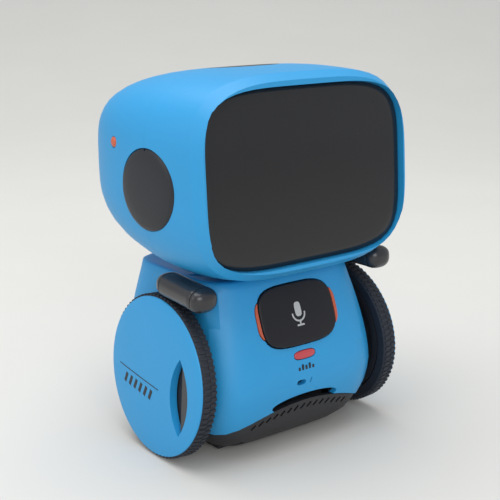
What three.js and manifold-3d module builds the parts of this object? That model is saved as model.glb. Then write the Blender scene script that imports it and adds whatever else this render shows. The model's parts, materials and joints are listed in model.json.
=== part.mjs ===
// Educational coding robot: a desk-top talking robot with a screen-shaped head, a bell-shaped
// body, two cambered drive wheels, two swinging arms and a rolling ball under its tail.
// Millimetres, +Z up, the face looks along -Y. Right and left are the robot's own: right is -X.
// The origin is on the floor, under the middle of the object.
import * as THREE from "three";
import { mergeVertices } from "three/addons/utils/BufferGeometryUtils.js";
import Module from "manifold-3d";

const wasm = await Module();
wasm.setup();

// ---------------------------------------------------------------- driving dimensions
const OVERALL_HEIGHT = 112;
const GAP = 0.3; // between pieces that touch
const RUN = 0.4; // radial clearance of a turning pin
const WALL = 2; // moulded shells
const RING_POINTS = 40; // points round each rounded section

const HEAD_WIDTH = 83.4;
const HEAD_DEPTH = 72;
const HEAD_FRONT = -37; // foremost point, at the foot of the face
const HEAD_HEIGHT = 58.4;
const HEAD_CROWN_SHARE = 0.483; // of the height, above the head's middle
const HEAD_SQUARENESS = 3.7; // exponent of the rounded section
const HEAD_SEAM_Y = -12.6; // where the front and rear shells meet, behind the ears
const FACE_LEAN = THREE.MathUtils.degToRad(4); // the face looks up a little
const RIM_DEPTH = 3; // slanted band round the face
const RIM_INSET = 1.5;
const RIM_SIDE_SHARE = 0.3; // of that inset, at the sides
const VISOR_WIDTH = 72.6;
const VISOR_HEIGHT = 50.4;
const VISOR_DROP = 0.5; // of its middle, below the head's own
const VISOR_SQUARENESS = 4.6;
const VISOR_THICKNESS = 2;
const VISOR_RECESS = 1;
const VISOR_LEDGE = 1.6;
const EAR_DIAMETER = 23;
const EAR_Y = -13.5;
const EAR_TOE = THREE.MathUtils.degToRad(5); // the ears follow the head's taper
const EAR_DROP = 3.2; // below the head's middle
const EAR_PROUD = 0.7;
const SIDE_LENS_DIAMETER = 3.2;
const TOUCH_PAD_WIDTH = 26;
const TOUCH_PAD_DEPTH = 18;
const HEAD_SCREW_X = 25;
const HEAD_SCREW_RISE = 14;
const HEAD_SCREW_BOSS = 3.2; // radius

const BODY_WIDTH = 62.4;
const BODY_DEPTH = 57.6;
const BODY_MIDDLE_Y = -5.2;
const NECK_GAP = 1.2; // between the body's top and the head's underside
const DISH_FLAT_RADIUS = 22;
const DISH_RIM_RADIUS = 30;
const DISH_RISE = 1;
const FLOOR_CLEARANCE = 1.2;
const SKIRT_HEIGHT = 16; // lower edge of the blue shells at the middle
const SKIRT_DROP = 10; // how much lower that edge is at the sides
const ARCH_WIDTH = 25; // notch in the front skirt
const ARCH_HEIGHT = 2.3;
const TRAY_INSET = 0.4; // black tray, inside the blue shells' surface
const TRAY_WALL = 1.8;
const GRILLE_SLOTS = 15;
const GRILLE_PITCH = 2.5;
const BASE_SCREW_X = 18.6;
const BASE_SCREW_WALL_OFFSET = 8.7; // from the body's furthest front and rear
const BASE_BOSS_RADIUS = 2.4;

const NECK_RADIUS = 9;
const NECK_BORE = 7;
const NECK_COLLAR = 2; // wider than the post
const NECK_PAD_TOP = 8.7; // flat seat inside the head, above its underside
const NECK_PAD_WIDTH = 3.4;
const RETAINER_THICKNESS = 1.6;
const NECK_TIP = 1.6; // post above the retainer

const TYRE_RADIUS = 24.2;
const TYRE_WIDTH = 4.9;
const TYRE_SECTION = 3.7; // radial
const TREAD_RIBS = 60;
const TREAD_DEPTH = 0.45;
const CAMBER = THREE.MathUtils.degToRad(3.4);
const WHEEL_GAP = 1.15; // body side to tyre
const AXLE_Y = -9.5;
const AXLE_RADIUS = 1.5;
const AXLE_REACH = 15; // inwards from the wheel's middle
const HUB_RADIUS = 23.2;
const HUB_THICKNESS = 1.6;
const HUB_DOME = 0.8;
const LENS_CUT_LENGTH = 23;
const LENS_CUT_WIDTH = 8.4;
const LENS_CUT_RADIUS = 13.2; // from the wheel's middle

const GEAR_MODULE = 0.5;
const DRIVE_TEETH = 30;
const PINION_TEETH = 10;
const GEAR_WIDTH = 3;
const GEAR_FACE = -8; // outer face of the gears, from the wheel's middle
const MOTOR_RADIUS = 5;
const MOTOR_LENGTH = 14;
const PINION_TOOTH = 4; // the pinion meshes at this tooth of the drive gear, behind and above the axle

const ARM_STAND = 1.8; // pivot, out from the body's widest side
const ARM_UNDER_HEAD = 0.3957; // pivot, as a share of the head's width
const ARM_Y = -12.4; // pivot
const ARM_RISE = -0.2; // middle of the arm, over the body's flat top
const ARM_HALF_WIDTH = 4.2;
const ARM_HALF_HEIGHT = 3.4;
const ARM_REACH = 18.4; // pivot to fingertip
const ARM_PIN_RADIUS = 1.3;
const LUG_RADIUS = 2.6;
const LUG_THICKNESS = 1.4;
const LUG_DROP = 1.3; // its middle, under the arm's middle
const RIGHT_ARM_DIP = THREE.MathUtils.degToRad(3.5);
const LEFT_ARM_DIP = THREE.MathUtils.degToRad(-2);

const BUTTON_WIDTH = 27.4;
const BUTTON_HEIGHT = 18.2;
const BUTTON_SQUARENESS = 3.8;
const BUTTON_Z = 41.3;
const BUTTON_LEAN = THREE.MathUtils.degToRad(21);
const BUTTON_TRAVEL = 1.2;
const BUTTON_THICKNESS = 3;
const GLOW_TAB = 1.3; // how far the light ring shows at each side
const RECORD_LENS_WIDTH = 7.9;
const RECORD_LENS_HEIGHT = 2.5;
const RECORD_LENS_Z = 29.6;
const MIC_SLOT_WIDTH = 3.4;
const MIC_SLOT_HEIGHT = 1.5;
const MIC_SLOT_Z = 21.7;

const BATTERY_RADIUS = 5.25;
const BATTERY_LENGTH = 44.5;
const BATTERY_PITCH = 10.8;
const BATTERY_ROW_Y = -4.8;
const COVER_THICKNESS = 1.4;
const BALL_RADIUS = 3.2;
const BALL_Y = 15.9;
const SWITCH_TRAVEL = 3;

// ---------------------------------------------------------------- sizes worked out from those
const HEAD_UNDERSIDE = OVERALL_HEIGHT - HEAD_HEIGHT;
const WHEEL_X = BODY_WIDTH / 2 + WHEEL_GAP + TYRE_WIDTH / 2;
const ARM_X = Math.max(BODY_WIDTH / 2 + ARM_STAND, HEAD_WIDTH * ARM_UNDER_HEAD);
const HEAD_MIDDLE_Z = OVERALL_HEIGHT - HEAD_HEIGHT * HEAD_CROWN_SHARE;
const FACE_Y = HEAD_FRONT + (HEAD_MIDDLE_Z - HEAD_UNDERSIDE) * Math.tan(FACE_LEAN);
const BODY_TOP = HEAD_UNDERSIDE - NECK_GAP;
const BODY_FRONT = BODY_MIDDLE_Y - BODY_DEPTH / 2;
const BODY_REAR = BODY_MIDDLE_Y + BODY_DEPTH / 2;
const AXLE_Z = TYRE_RADIUS * Math.cos(CAMBER) + (TYRE_WIDTH / 2) * Math.sin(CAMBER);
const PINION_ANGLE = (2 * Math.PI * PINION_TOOTH) / DRIVE_TEETH;
const CENTRE_DISTANCE = (GEAR_MODULE * (DRIVE_TEETH + PINION_TEETH)) / 2;
const ARM_Z = BODY_TOP + ARM_RISE;
const TRAY_FLOOR = FLOOR_CLEARANCE + COVER_THICKNESS + GAP;
const BATTERY_Z = TRAY_FLOOR + BATTERY_RADIUS;

const colours = {
  blue: { color: 0x2a93db, roughness: 0.42, metalness: 0 },
  black: { color: 0x1c1d20, roughness: 0.5, metalness: 0 },
  rubber: { color: 0x191a1d, roughness: 0.8, metalness: 0 },
  smoked: { color: 0x17181a, roughness: 0.15, metalness: 0 },
  orange: { color: 0xf0622a, roughness: 0.35, metalness: 0 },
  red: { color: 0xc23a44, roughness: 0.3, metalness: 0 },
  board: { color: 0x1d6b3a, roughness: 0.5, metalness: 0 },
  white: { color: 0xe8e8e4, roughness: 0.5, metalness: 0 },
  steel: { color: 0xb9bcc0, roughness: 0.3, metalness: 1 },
  brass: { color: 0xc9a24a, roughness: 0.35, metalness: 1 },
};
const materials = Object.fromEntries(
  Object.entries(colours).map(([name, look]) => [name, new THREE.MeshStandardMaterial(look)]),
);

// ---------------------------------------------------------------- solids
function solidOf(geometry) {
  const bare = geometry.index ? geometry.toNonIndexed() : geometry.clone();
  for (const name of Object.keys(bare.attributes)) if (name !== "position") bare.deleteAttribute(name);
  const merged = mergeVertices(bare, 1e-4);
  const triVerts = new Uint32Array(merged.index.array);
  const vertProperties = merged.attributes.position.array;
  const made = new wasm.Manifold(new wasm.Mesh({ numProp: 3, vertProperties, triVerts }));
  if (made.volume() > 0) return made;
  for (let i = 0; i < triVerts.length; i += 3) {
    [triVerts[i + 1], triVerts[i + 2]] = [triVerts[i + 2], triVerts[i + 1]];
  }
  return new wasm.Manifold(new wasm.Mesh({ numProp: 3, vertProperties, triVerts }));
}

function geometryOf(solid) {
  const mesh = solid.getMesh();
  const positions = new Float32Array(mesh.numVert * 3);
  for (let i = 0; i < mesh.numVert; i++) {
    positions.set(mesh.vertProperties.subarray(i * mesh.numProp, i * mesh.numProp + 3), i * 3);
  }
  const geometry = new THREE.BufferGeometry();
  geometry.setAttribute("position", new THREE.BufferAttribute(positions, 3));
  geometry.setIndex(new THREE.BufferAttribute(new Uint32Array(mesh.triVerts), 1));
  return geometry;
}

const placed = (geometry, x = 0, y = 0, z = 0) => solidOf(geometry.clone().translate(x, y, z));
const cut = (solid, ...tools) => tools.reduce((left, tool) => left.subtract(tool), solid);
const join = (solid, ...others) => others.reduce((left, other) => left.add(other), solid);

// A closed skin over rings of equally many points.
function loft(rings) {
  const count = rings[0].length;
  const positions = rings.flat().flatMap((p) => [p.x, p.y, p.z]);
  const indices = [];
  for (let r = 0; r + 1 < rings.length; r++) {
    for (let i = 0; i < count; i++) {
      const a = r * count + i;
      const b = r * count + ((i + 1) % count);
      indices.push(a, b, a + count, b, b + count, a + count);
    }
  }
  for (const [ring, start, flip] of [[rings[0], 0, true], [rings.at(-1), (rings.length - 1) * count, false]]) {
    const middle = ring.reduce((sum, p) => sum.add(p), new THREE.Vector3()).divideScalar(count);
    const tip = positions.length / 3;
    positions.push(middle.x, middle.y, middle.z);
    for (let i = 0; i < count; i++) {
      const a = start + i;
      const b = start + ((i + 1) % count);
      indices.push(...(flip ? [b, a, tip] : [a, b, tip]));
    }
  }
  const geometry = new THREE.BufferGeometry();
  geometry.setAttribute("position", new THREE.Float32BufferAttribute(positions, 3));
  geometry.setIndex(indices);
  return solidOf(geometry);
}

// Points of a rounded rectangle |u/a|^n + |v/b|^n = 1, with its own reach on each side of v.
function roundedOutline(a, bPlus, bMinus, n, count = RING_POINTS) {
  return Array.from({ length: count }, (_, i) => {
    const t = (2 * Math.PI * (i + 0.5)) / count;
    const c = Math.cos(t);
    const s = Math.sin(t);
    const u = a * Math.sign(c) * Math.abs(c) ** (2 / n);
    const v = (s > 0 ? bPlus : bMinus) * Math.sign(s) * Math.abs(s) ** (2 / n);
    return new THREE.Vector2(u, v);
  });
}

const oval = (a, b, n, count) => roundedOutline(a, b, b, n, count);

// A cylinder between two places on a line along x, y or z.
function rod(axis, from, to, radius, at, sides = 20) {
  const geometry = new THREE.CylinderGeometry(radius, radius, Math.abs(to - from), sides);
  const middle = (from + to) / 2;
  if (axis === "x") return placed(geometry.rotateZ(Math.PI / 2), middle, at[0], at[1]);
  if (axis === "y") return placed(geometry, at[0], middle, at[1]);
  return placed(geometry.rotateX(Math.PI / 2), at[0], at[1], middle);
}

function block(x, y, z) {
  const geometry = new THREE.BoxGeometry(x[1] - x[0], y[1] - y[0], z[1] - z[0]);
  return placed(geometry, (x[0] + x[1]) / 2, (y[0] + y[1]) / 2, (z[0] + z[1]) / 2);
}

// A plate of the given outline, from height `from` to `to` along +Z before it is turned.
function plate(outline, from, to) {
  const geometry = new THREE.ExtrudeGeometry(new THREE.Shape(outline), { depth: to - from, bevelEnabled: false });
  return geometry.translate(0, 0, from);
}

// A lathe turned round the X axis: profile points are (radius, place along X).
function turned(profile, sides) {
  const points = profile.map(([r, x]) => new THREE.Vector2(r, x));
  return new THREE.LatheGeometry(points, sides).rotateZ(-Math.PI / 2);
}

const group = new THREE.Group();

function add(name, solid, material, parent = group) {
  const mesh = new THREE.Mesh(geometryOf(solid), materials[material]);
  mesh.name = name;
  parent.add(mesh);
  return mesh;
}

// ---------------------------------------------------------------- head
// The head is lofted from front to back; `back` is the distance behind its front edge.
function easeIn(share, full, start) {
  return share < full ? 1 - (1 - start) * ((full - share) / full) ** 2 : 1;
}
function roundOff(share, from, power) {
  const run = Math.max(0, (share - from) / (1 - from));
  return (1 - Math.min(run, 0.9999) ** power) ** (1 / power);
}

function headRing(back, inset) {
  const share = THREE.MathUtils.clamp(back / HEAD_DEPTH, 0, 1);
  const rim = RIM_INSET * Math.max(0, 1 - back / RIM_DEPTH);
  const crown = HEAD_HEIGHT * HEAD_CROWN_SHARE;
  const belly = HEAD_HEIGHT - crown;
  const half = (HEAD_WIDTH / 2) * easeIn(share, 0.44, 0.9) * roundOff(share, 0.44, 2.6);
  const top = crown * easeIn(share, 0.2, 0.985) * roundOff(share, 0.18, 2.6);
  const bottom = belly * easeIn(share, 0.22, 0.935) * roundOff(share, 0.22, 1.8);
  const least = 1.5;
  const shrink = (size, band = rim) => Math.max(least, size - inset - band);
  const lean = Math.tan(FACE_LEAN) * (1 - share) ** 2;
  const outline = roundedOutline(shrink(half, rim * RIM_SIDE_SHARE), shrink(top), shrink(bottom), HEAD_SQUARENESS);
  const front = FACE_Y + back * (1 - (FACE_Y - HEAD_FRONT) / HEAD_DEPTH);
  return outline.map((p) => new THREE.Vector3(p.x, front + lean * p.y, HEAD_MIDDLE_Z + p.y));
}

function headSolid(from, to, inset, steps) {
  const rings = [];
  for (let i = 0; i <= steps; i++) rings.push(headRing(from + ((to - from) * i) / steps, inset));
  return loft(rings);
}

const HEAD_SEAM = HEAD_SEAM_Y - FACE_Y; // behind the front edge
const INSIDE_REACH = 0.4; // how far an inner cutter runs past the open end
const BACK_STEPS = [0, 0.25, 0.45, 0.62, 0.76, 0.87, 0.94, 0.98, 0.997];

function headBack(inset, from, end) {
  return loft(BACK_STEPS.map((share) => headRing(from + (end - from) * share, inset)));
}

function faceOutline(width, height, inset) {
  return oval(width / 2 - inset, height / 2 - inset, VISOR_SQUARENESS);
}
const faceCentre = HEAD_MIDDLE_Z - VISOR_DROP;

// A plate in the leaning face, `depth` behind the front edge.
function facePlate(inset, depthFrom, depthTo) {
  const rings = [depthFrom, depthTo].map((depth) =>
    faceOutline(VISOR_WIDTH, VISOR_HEIGHT, inset).map(
      (p) => new THREE.Vector3(p.x, FACE_Y + depth + Math.tan(FACE_LEAN) * (p.y - VISOR_DROP), faceCentre + p.y),
    ),
  );
  return loft(rings);
}

const visorBack = VISOR_RECESS + VISOR_THICKNESS + GAP;
const sleeveEnd = visorBack + 2;
const rimSleeve = cut(headSolid(RIM_DEPTH - 0.5, sleeveEnd, WALL + GAP, 2));
const bezel = cut(
  join(headSolid(0, RIM_DEPTH, 0, 2), rimSleeve),
  facePlate(0, -3, visorBack),
  facePlate(VISOR_LEDGE, visorBack - 1, sleeveEnd + 1),
);
add("head_bezel", bezel, "blue");
add("visor", facePlate(GAP, VISOR_RECESS, VISOR_RECESS + VISOR_THICKNESS), "smoked");

// Round ear seats, screw bosses and the neck hole are shared by both head shells.
const earPlace = [EAR_Y, HEAD_MIDDLE_Z - EAR_DROP];
const EAR_SEAT_DEPTH = 1.4;
const EAR_SKIN = HEAD_WIDTH / 2 - 0.6; // the side's own surface at the ear's middle
const mirrored = (solid) => solidOf(geometryOf(solid).scale(-1, 1, 1));
function earDisc(from, to, radius, sides) {
  const geometry = new THREE.CylinderGeometry(radius, radius, to - from, sides).rotateZ(Math.PI / 2);
  geometry.translate((from + to) / 2, 0, 0).rotateZ(-EAR_TOE);
  return placed(geometry, EAR_SKIN, ...earPlace);
}
const bothSides = (solid) => [solid, mirrored(solid)];
const earSeats = bothSides(earDisc(-EAR_SEAT_DEPTH, 6, EAR_DIAMETER / 2 + GAP / 2, 36));
const earBacks = bothSides(earDisc(-EAR_SEAT_DEPTH - WALL, -0.5, EAR_DIAMETER / 2 + 1.5, 28));
const neckHole = rod("z", HEAD_UNDERSIDE - 3, HEAD_UNDERSIDE + NECK_PAD_TOP + 2, NECK_RADIUS + RUN, [0, 0], 36);
const screwPlaces = [-1, 1].map((side) => [side * HEAD_SCREW_X, HEAD_MIDDLE_Z - HEAD_SCREW_RISE]);
const lensPlace = [HEAD_SEAM_Y + 15.5, HEAD_MIDDLE_Z + 8];
const padPlace = [0, -1];

const padOutline = (inset) =>
  oval(TOUCH_PAD_WIDTH / 2 - inset, TOUCH_PAD_DEPTH / 2 - inset, 2.4, 32);
const padBlock = (inset, from, to) => placed(plate(padOutline(inset), from, to), ...padPlace, 0);

const frontBosses = screwPlaces.map((place) => rod("y", HEAD_SEAM_Y - 9, HEAD_SEAM_Y, HEAD_SCREW_BOSS, place, 16));
const bossWebs = screwPlaces.map(([x, z]) =>
  block([x - 0.8, x + 0.8], [HEAD_SEAM_Y - 9, HEAD_SEAM_Y], [z - HEAD_SCREW_RISE, z]),
);
const headFront = headSolid(RIM_DEPTH + GAP, HEAD_SEAM, 0, 4);
const frontCavity = headSolid(RIM_DEPTH - INSIDE_REACH, HEAD_SEAM + INSIDE_REACH, WALL, 4);
const bossRoom = headSolid(RIM_DEPTH + GAP, HEAD_SEAM, WALL / 2, 4);
const pilotHoles = screwPlaces.map((place) => rod("y", HEAD_SEAM_Y - 8, HEAD_SEAM_Y + 1, 1 + GAP, place, 12));
const sideWeb = screwPlaces.map(([x, z]) => {
  const edge = Math.sign(x) * (HEAD_WIDTH / 2);
  return block([Math.min(x, edge), Math.max(x, edge)], [HEAD_SEAM_Y - 9, HEAD_SEAM_Y], [z - 0.8, z + 0.8]);
});
const headFrontShell = cut(
  join(
    cut(headFront, frontCavity),
    ...[...frontBosses, ...sideWeb].map((piece) => piece.intersect(bossRoom)),
    ...earBacks.map((piece) => piece.intersect(bossRoom)),
  ),
  ...pilotHoles,
  ...earSeats,
  neckHole,
);
const PAD_FLOOR_Z = OVERALL_HEIGHT - 1.3;
const padSeat = padBlock(0, PAD_FLOOR_Z, OVERALL_HEIGHT + 2);
add("head_front_shell", cut(headFrontShell, padSeat), "blue");

const rearFrom = HEAD_SEAM + GAP;
const rearSolid = headBack(0, rearFrom, HEAD_DEPTH);
const rearCavity = headBack(WALL, rearFrom - INSIDE_REACH, HEAD_DEPTH - WALL);
const rearBosses = screwPlaces.map((place) =>
  rod("y", HEAD_SEAM_Y + GAP, HEAD_DEPTH / 2, HEAD_SCREW_BOSS, place, 16),
);
const SCREW_SEAT_Y = HEAD_SEAM_Y + 6;
const screwTunnels = screwPlaces.flatMap(([x, z]) => [
  rod("y", SCREW_SEAT_Y, HEAD_DEPTH, HEAD_SCREW_BOSS - 1, [x, z], 16),
  rod("y", HEAD_SEAM_Y - 2, SCREW_SEAT_Y + 1, 1 + GAP, [x, z], 12),
]);
const NECK_SEAT = HEAD_UNDERSIDE + NECK_PAD_TOP;
const neckPad = rod("z", HEAD_UNDERSIDE - 2, NECK_SEAT, NECK_RADIUS + NECK_PAD_WIDTH, [0, 0], 28);
const rearRoom = headBack(WALL / 2, rearFrom, HEAD_DEPTH - WALL / 2);
const headRearShell = cut(
  join(
    cut(rearSolid, rearCavity),
    ...rearBosses.map((piece) => piece.intersect(rearRoom)),
    neckPad.intersect(rearRoom),
    ...earBacks.map((piece) => piece.intersect(rearRoom)),
  ),
  ...screwTunnels,
  ...earSeats,
  neckHole,
  ...[-1, 1].map((side) =>
    rod("x", side * 36, side * HEAD_WIDTH, SIDE_LENS_DIAMETER / 2 + GAP, lensPlace, 16),
  ),
);
add("head_rear_shell", cut(headRearShell, padSeat), "blue");

// The touch pad follows the crown, in its own shallow seat.
const crown = headSolid(HEAD_SEAM - 12, HEAD_SEAM + 26, 0, 12);
const touchPad = padBlock(GAP, PAD_FLOOR_Z + GAP, OVERALL_HEIGHT + 2).intersect(crown);
add("touch_pad", touchPad, "black");

const capRadius = EAR_DIAMETER / 2 - GAP / 2;
const earCap = placed(
  turned(
    [[0, GAP], [capRadius, GAP], [capRadius, EAR_SEAT_DEPTH], [capRadius - 1.2, EAR_SEAT_DEPTH + EAR_PROUD * 0.4],
      [capRadius - 5, EAR_SEAT_DEPTH + EAR_PROUD * 0.85], [0, EAR_SEAT_DEPTH + EAR_PROUD]],
    36,
  ).translate(-EAR_SEAT_DEPTH, 0, 0).rotateZ(-EAR_TOE),
  EAR_SKIN,
  ...earPlace,
);
const lensDome = placed(
  turned([[0, 0], [SIDE_LENS_DIAMETER / 2, 0], [SIDE_LENS_DIAMETER / 2, 3.1], [SIDE_LENS_DIAMETER / 4, 3.5], [0, 3.6]], 14),
  HEAD_WIDTH / 2 - 3.9,
  ...lensPlace,
);
for (const [side, mirror] of [["left", 1], ["right", -1]]) {
  const flank = new THREE.Group();
  flank.scale.x = mirror;
  group.add(flank);
  add("ear_cap_" + side, earCap, "black", flank);
  add("side_lens_" + side, lensDome, "orange", flank);
}

// Display: two dot-matrix eyes on one board, behind the visor.
const boardBack = sleeveEnd + 3.8;
const EYE_SIZE = 20;
const EYE_SPACING = 32;
add(
  "display_board",
  block([-30, 30], [FACE_Y + boardBack, FACE_Y + boardBack + 1.6], [faceCentre - 17, faceCentre + 17]),
  "board",
);
for (const [side, direction] of [["left", 1], ["right", -1]]) {
  const x = (direction * EYE_SPACING) / 2;
  const depth = [FACE_Y + boardBack - 4, FACE_Y + boardBack - GAP];
  const rise = [faceCentre - EYE_SIZE / 2, faceCentre + EYE_SIZE / 2];
  add("eye_display_" + side, block([x - EYE_SIZE / 2, x + EYE_SIZE / 2], depth, rise), "white");
}

// A round-headed screw along Y or Z; its head's flat top is at `at`, and it points forwards or up.
function screw(length, headRadius) {
  return solidOf(
    new THREE.LatheGeometry(
      [[0, 0], [headRadius * 0.8, 0], [headRadius, 0.5], [headRadius, 1.3], [1, 1.3], [1, length - 0.8], [0, length]].map(
        ([r, y]) => new THREE.Vector2(r, y),
      ),
      12,
    ),
  );
}
screwPlaces.forEach(([x, z], i) => {
  const mesh = add("head_screw_" + (i + 1), screw(11, 1.9), "steel");
  mesh.rotation.z = Math.PI;
  mesh.position.set(x, SCREW_SEAT_Y + 1.3 + GAP, z);
});

// ---------------------------------------------------------------- body
// Stations up the body: height as a share of its top, half width as a share of the widest, how far the
// front and rear are drawn in from their furthest, and how square the plan is.
const BODY_STATIONS = [
  { at: FLOOR_CLEARANCE / BODY_TOP, wide: 0.78, front: 10.6, rear: 4.4, square: 4 },
  { at: 0.055, wide: 0.85, front: 7, rear: 2.6, square: 4.2 },
  { at: 0.11, wide: 0.91, front: 3.6, rear: 1.2, square: 4.4 },
  { at: 0.19, wide: 0.955, front: 1.4, rear: 0.4, square: 4.8 },
  { at: 0.28, wide: 0.985, front: 0.4, rear: 0, square: 6 },
  { at: 0.42, wide: 1, front: 0, rear: 0, square: 7.5 },
  { at: 0.56, wide: 0.995, front: 1.3, rear: 0.5, square: 7 },
  { at: 0.7, wide: 0.975, front: 3.4, rear: 1.4, square: 5.6 },
  { at: 0.85, wide: 0.945, front: 6.2, rear: 2.5, square: 4.6 },
  { at: 1, wide: 0.905, front: 9.2, rear: 3.6, square: 4 },
  { at: 1.09, wide: 0.885, front: 11, rear: 4.2, square: 4 },
];

function bodyRing(station, inset) {
  const half = (BODY_WIDTH / 2) * station.wide - inset;
  const front = BODY_FRONT + station.front + inset;
  const rear = BODY_REAR - station.rear - inset;
  const middle = (front + rear) / 2;
  const depth = (rear - front) / 2;
  const z = BODY_TOP * station.at;
  return oval(half, depth, station.square).map((p) => new THREE.Vector3(p.x, middle + p.y, z));
}
const bodySolid = (stations, inset) => loft(stations.map((station) => bodyRing(station, inset)));

// The body's front surface at the middle, at height z.
function bodyFrontAt(z) {
  const share = z / BODY_TOP;
  const above = BODY_STATIONS.findIndex((station) => station.at >= share);
  const [low, high] = [BODY_STATIONS[above - 1], BODY_STATIONS[above]];
  return BODY_FRONT + THREE.MathUtils.mapLinear(share, low.at, high.at, low.front, high.front);
}

// The dish that the head turns over, as the space above it, lowered by `drop`.
const dish = (drop) =>
  solidOf(
    new THREE.LatheGeometry(
      [[0, BODY_TOP], [DISH_FLAT_RADIUS, BODY_TOP], [DISH_RIM_RADIUS, BODY_TOP + DISH_RISE],
        [2 * DISH_RIM_RADIUS, BODY_TOP + 3 * DISH_RISE], [2 * DISH_RIM_RADIUS, BODY_TOP + 30], [0, BODY_TOP + 30]].map(
        ([r, z]) => new THREE.Vector2(r, z - drop),
      ),
      40,
    ).rotateX(Math.PI / 2),
  );

// Everything under the skirt's arched edge, moved up by `rise`.
const SKIRT_STEPS = 12;
function underSkirt(rise) {
  const half = BODY_WIDTH / 2 + 2;
  const edge = Array.from({ length: SKIRT_STEPS + 1 }, (_, i) => {
    const x = half - (2 * half * i) / SKIRT_STEPS;
    return new THREE.Vector2(x, SKIRT_HEIGHT - SKIRT_DROP * (x / half) ** 2 + rise);
  });
  const outline = [new THREE.Vector2(-half, -5), new THREE.Vector2(half, -5), ...edge];
  return placed(plate(outline, -2 * BODY_DEPTH, 2 * BODY_DEPTH).rotateX(Math.PI / 2));
}

const SHELL_STATIONS = BODY_STATIONS.slice(1);
const bodyOuter = cut(bodySolid(SHELL_STATIONS, 0), dish(0), underSkirt(0));
const bodyInner = cut(bodySolid(BODY_STATIONS, WALL), dish(WALL));

const archCutter = placed(
  plate(oval(ARCH_WIDTH / 2, ARCH_HEIGHT, 2, 28), 0, BODY_DEPTH / 4).rotateX(Math.PI / 2),
  0,
  BODY_FRONT + BODY_DEPTH / 8,
  SKIRT_HEIGHT - 0.5,
);

// Cutters in the leaning frame of the record button: x across, y out of the surface, z up the slope.
const buttonY = bodyFrontAt(BUTTON_Z);
const buttonTool = (solidGeometry) =>
  placed(solidGeometry.clone().rotateX(-BUTTON_LEAN), 0, buttonY, BUTTON_Z);
const buttonPlate = (outline, out, inwards) =>
  plate(outline, -inwards, out).rotateX(Math.PI / 2);
const buttonOutline = (grow) =>
  oval(BUTTON_WIDTH / 2 + grow, BUTTON_HEIGHT / 2 + grow, BUTTON_SQUARENESS, 36);
const glowOutline = (grow) =>
  oval(BUTTON_WIDTH / 2 + GLOW_TAB + grow, BUTTON_HEIGHT * 0.34 + grow, 3, 28);
const PROUD = 0.5;

function pill(width, height, grow) {
  return oval(width / 2 + grow, height / 2 + grow, 3, 20);
}
function frontCutter(outline, z, depth) {
  return placed(plate(outline, -depth, 3).rotateX(Math.PI / 2), 0, bodyFrontAt(z), z);
}

const axlePlace = (side, reach) => [side * (WHEEL_X - reach * Math.cos(CAMBER)), AXLE_Z - reach * Math.sin(CAMBER)];
function axleHole(side) {
  const geometry = new THREE.CylinderGeometry(AXLE_RADIUS + RUN, AXLE_RADIUS + RUN, 14, 20).rotateZ(Math.PI / 2);
  const [x, z] = axlePlace(side, 4);
  return placed(geometry.rotateY(-side * CAMBER), x, AXLE_Y, z);
}
const lugSpan = (grow) => {
  const middle = ARM_Z - LUG_DROP;
  return [middle - LUG_THICKNESS / 2 - grow, middle + LUG_THICKNESS / 2 + grow];
};
const sorted = (a, b) => [Math.min(a, b), Math.max(a, b)];
const armLugs = [-1, 1].map((side) =>
  join(
    block(sorted(side * BODY_WIDTH * 0.43, side * ARM_X), [ARM_Y - LUG_RADIUS, ARM_Y + LUG_RADIUS], lugSpan(0)),
    rod("z", ...lugSpan(0), LUG_RADIUS, [side * ARM_X, ARM_Y], 20),
  ),
);
const lugHoles = [-1, 1].map((side) => rod("z", ...lugSpan(1), ARM_PIN_RADIUS + GAP, [side * ARM_X, ARM_Y], 16));
const bossPlaces = [
  [BODY_FRONT + BASE_SCREW_WALL_OFFSET, 1.4],
  [BODY_REAR - BASE_SCREW_WALL_OFFSET, 0],
].flatMap(([y, dip]) => [-1, 1].map((side) => [side * BASE_SCREW_X, y + dip]));
const BOSS_FOOT = 9;
const skirtBosses = bossPlaces.map(([x, y]) =>
  join(
    rod("z", BOSS_FOOT, 24, BASE_BOSS_RADIUS, [x, y], 14),
    block([x - 0.8, x + 0.8], sorted(y, Math.sign(y) * BODY_DEPTH), [SKIRT_HEIGHT + 1, 24]),
  ),
);
const skirtPilots = bossPlaces.map(([x, y]) => rod("z", BOSS_FOOT - 1, 18, 1 + GAP, [x, y], 12));

const neckOpening = rod("z", BODY_TOP - 6, BODY_TOP + 8, NECK_RADIUS + GAP, [0, 0], 32);
const shellSolid = cut(
  join(
    cut(bodyOuter, bodyInner),
    ...skirtBosses.map((boss) => boss.intersect(bodySolid(BODY_STATIONS, WALL / 2))),
  ),
  ...skirtPilots,
  axleHole(1),
  axleHole(-1),
  neckOpening,
);
const WIDE = 2 * BODY_WIDTH;
const frontHalf = block([-WIDE, WIDE], [-WIDE, AXLE_Y - GAP / 2], [-5, OVERALL_HEIGHT]);
const rearHalf = block([-WIDE, WIDE], [AXLE_Y + GAP / 2, WIDE], [-5, OVERALL_HEIGHT]);
const frontShell = cut(
  join(shellSolid.intersect(frontHalf), ...armLugs),
  ...lugHoles,
  archCutter,
  buttonTool(buttonPlate(buttonOutline(GAP), 4, 8)),
  buttonTool(buttonPlate(glowOutline(GAP), 4, 8)),
  frontCutter(pill(RECORD_LENS_WIDTH, RECORD_LENS_HEIGHT, GAP), RECORD_LENS_Z, 5),
  frontCutter(pill(MIC_SLOT_WIDTH, MIC_SLOT_HEIGHT, 0), MIC_SLOT_Z, 5),
);
add("body_front_shell", frontShell, "blue");
add("body_rear_shell", shellSolid.intersect(rearHalf), "blue");

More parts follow.
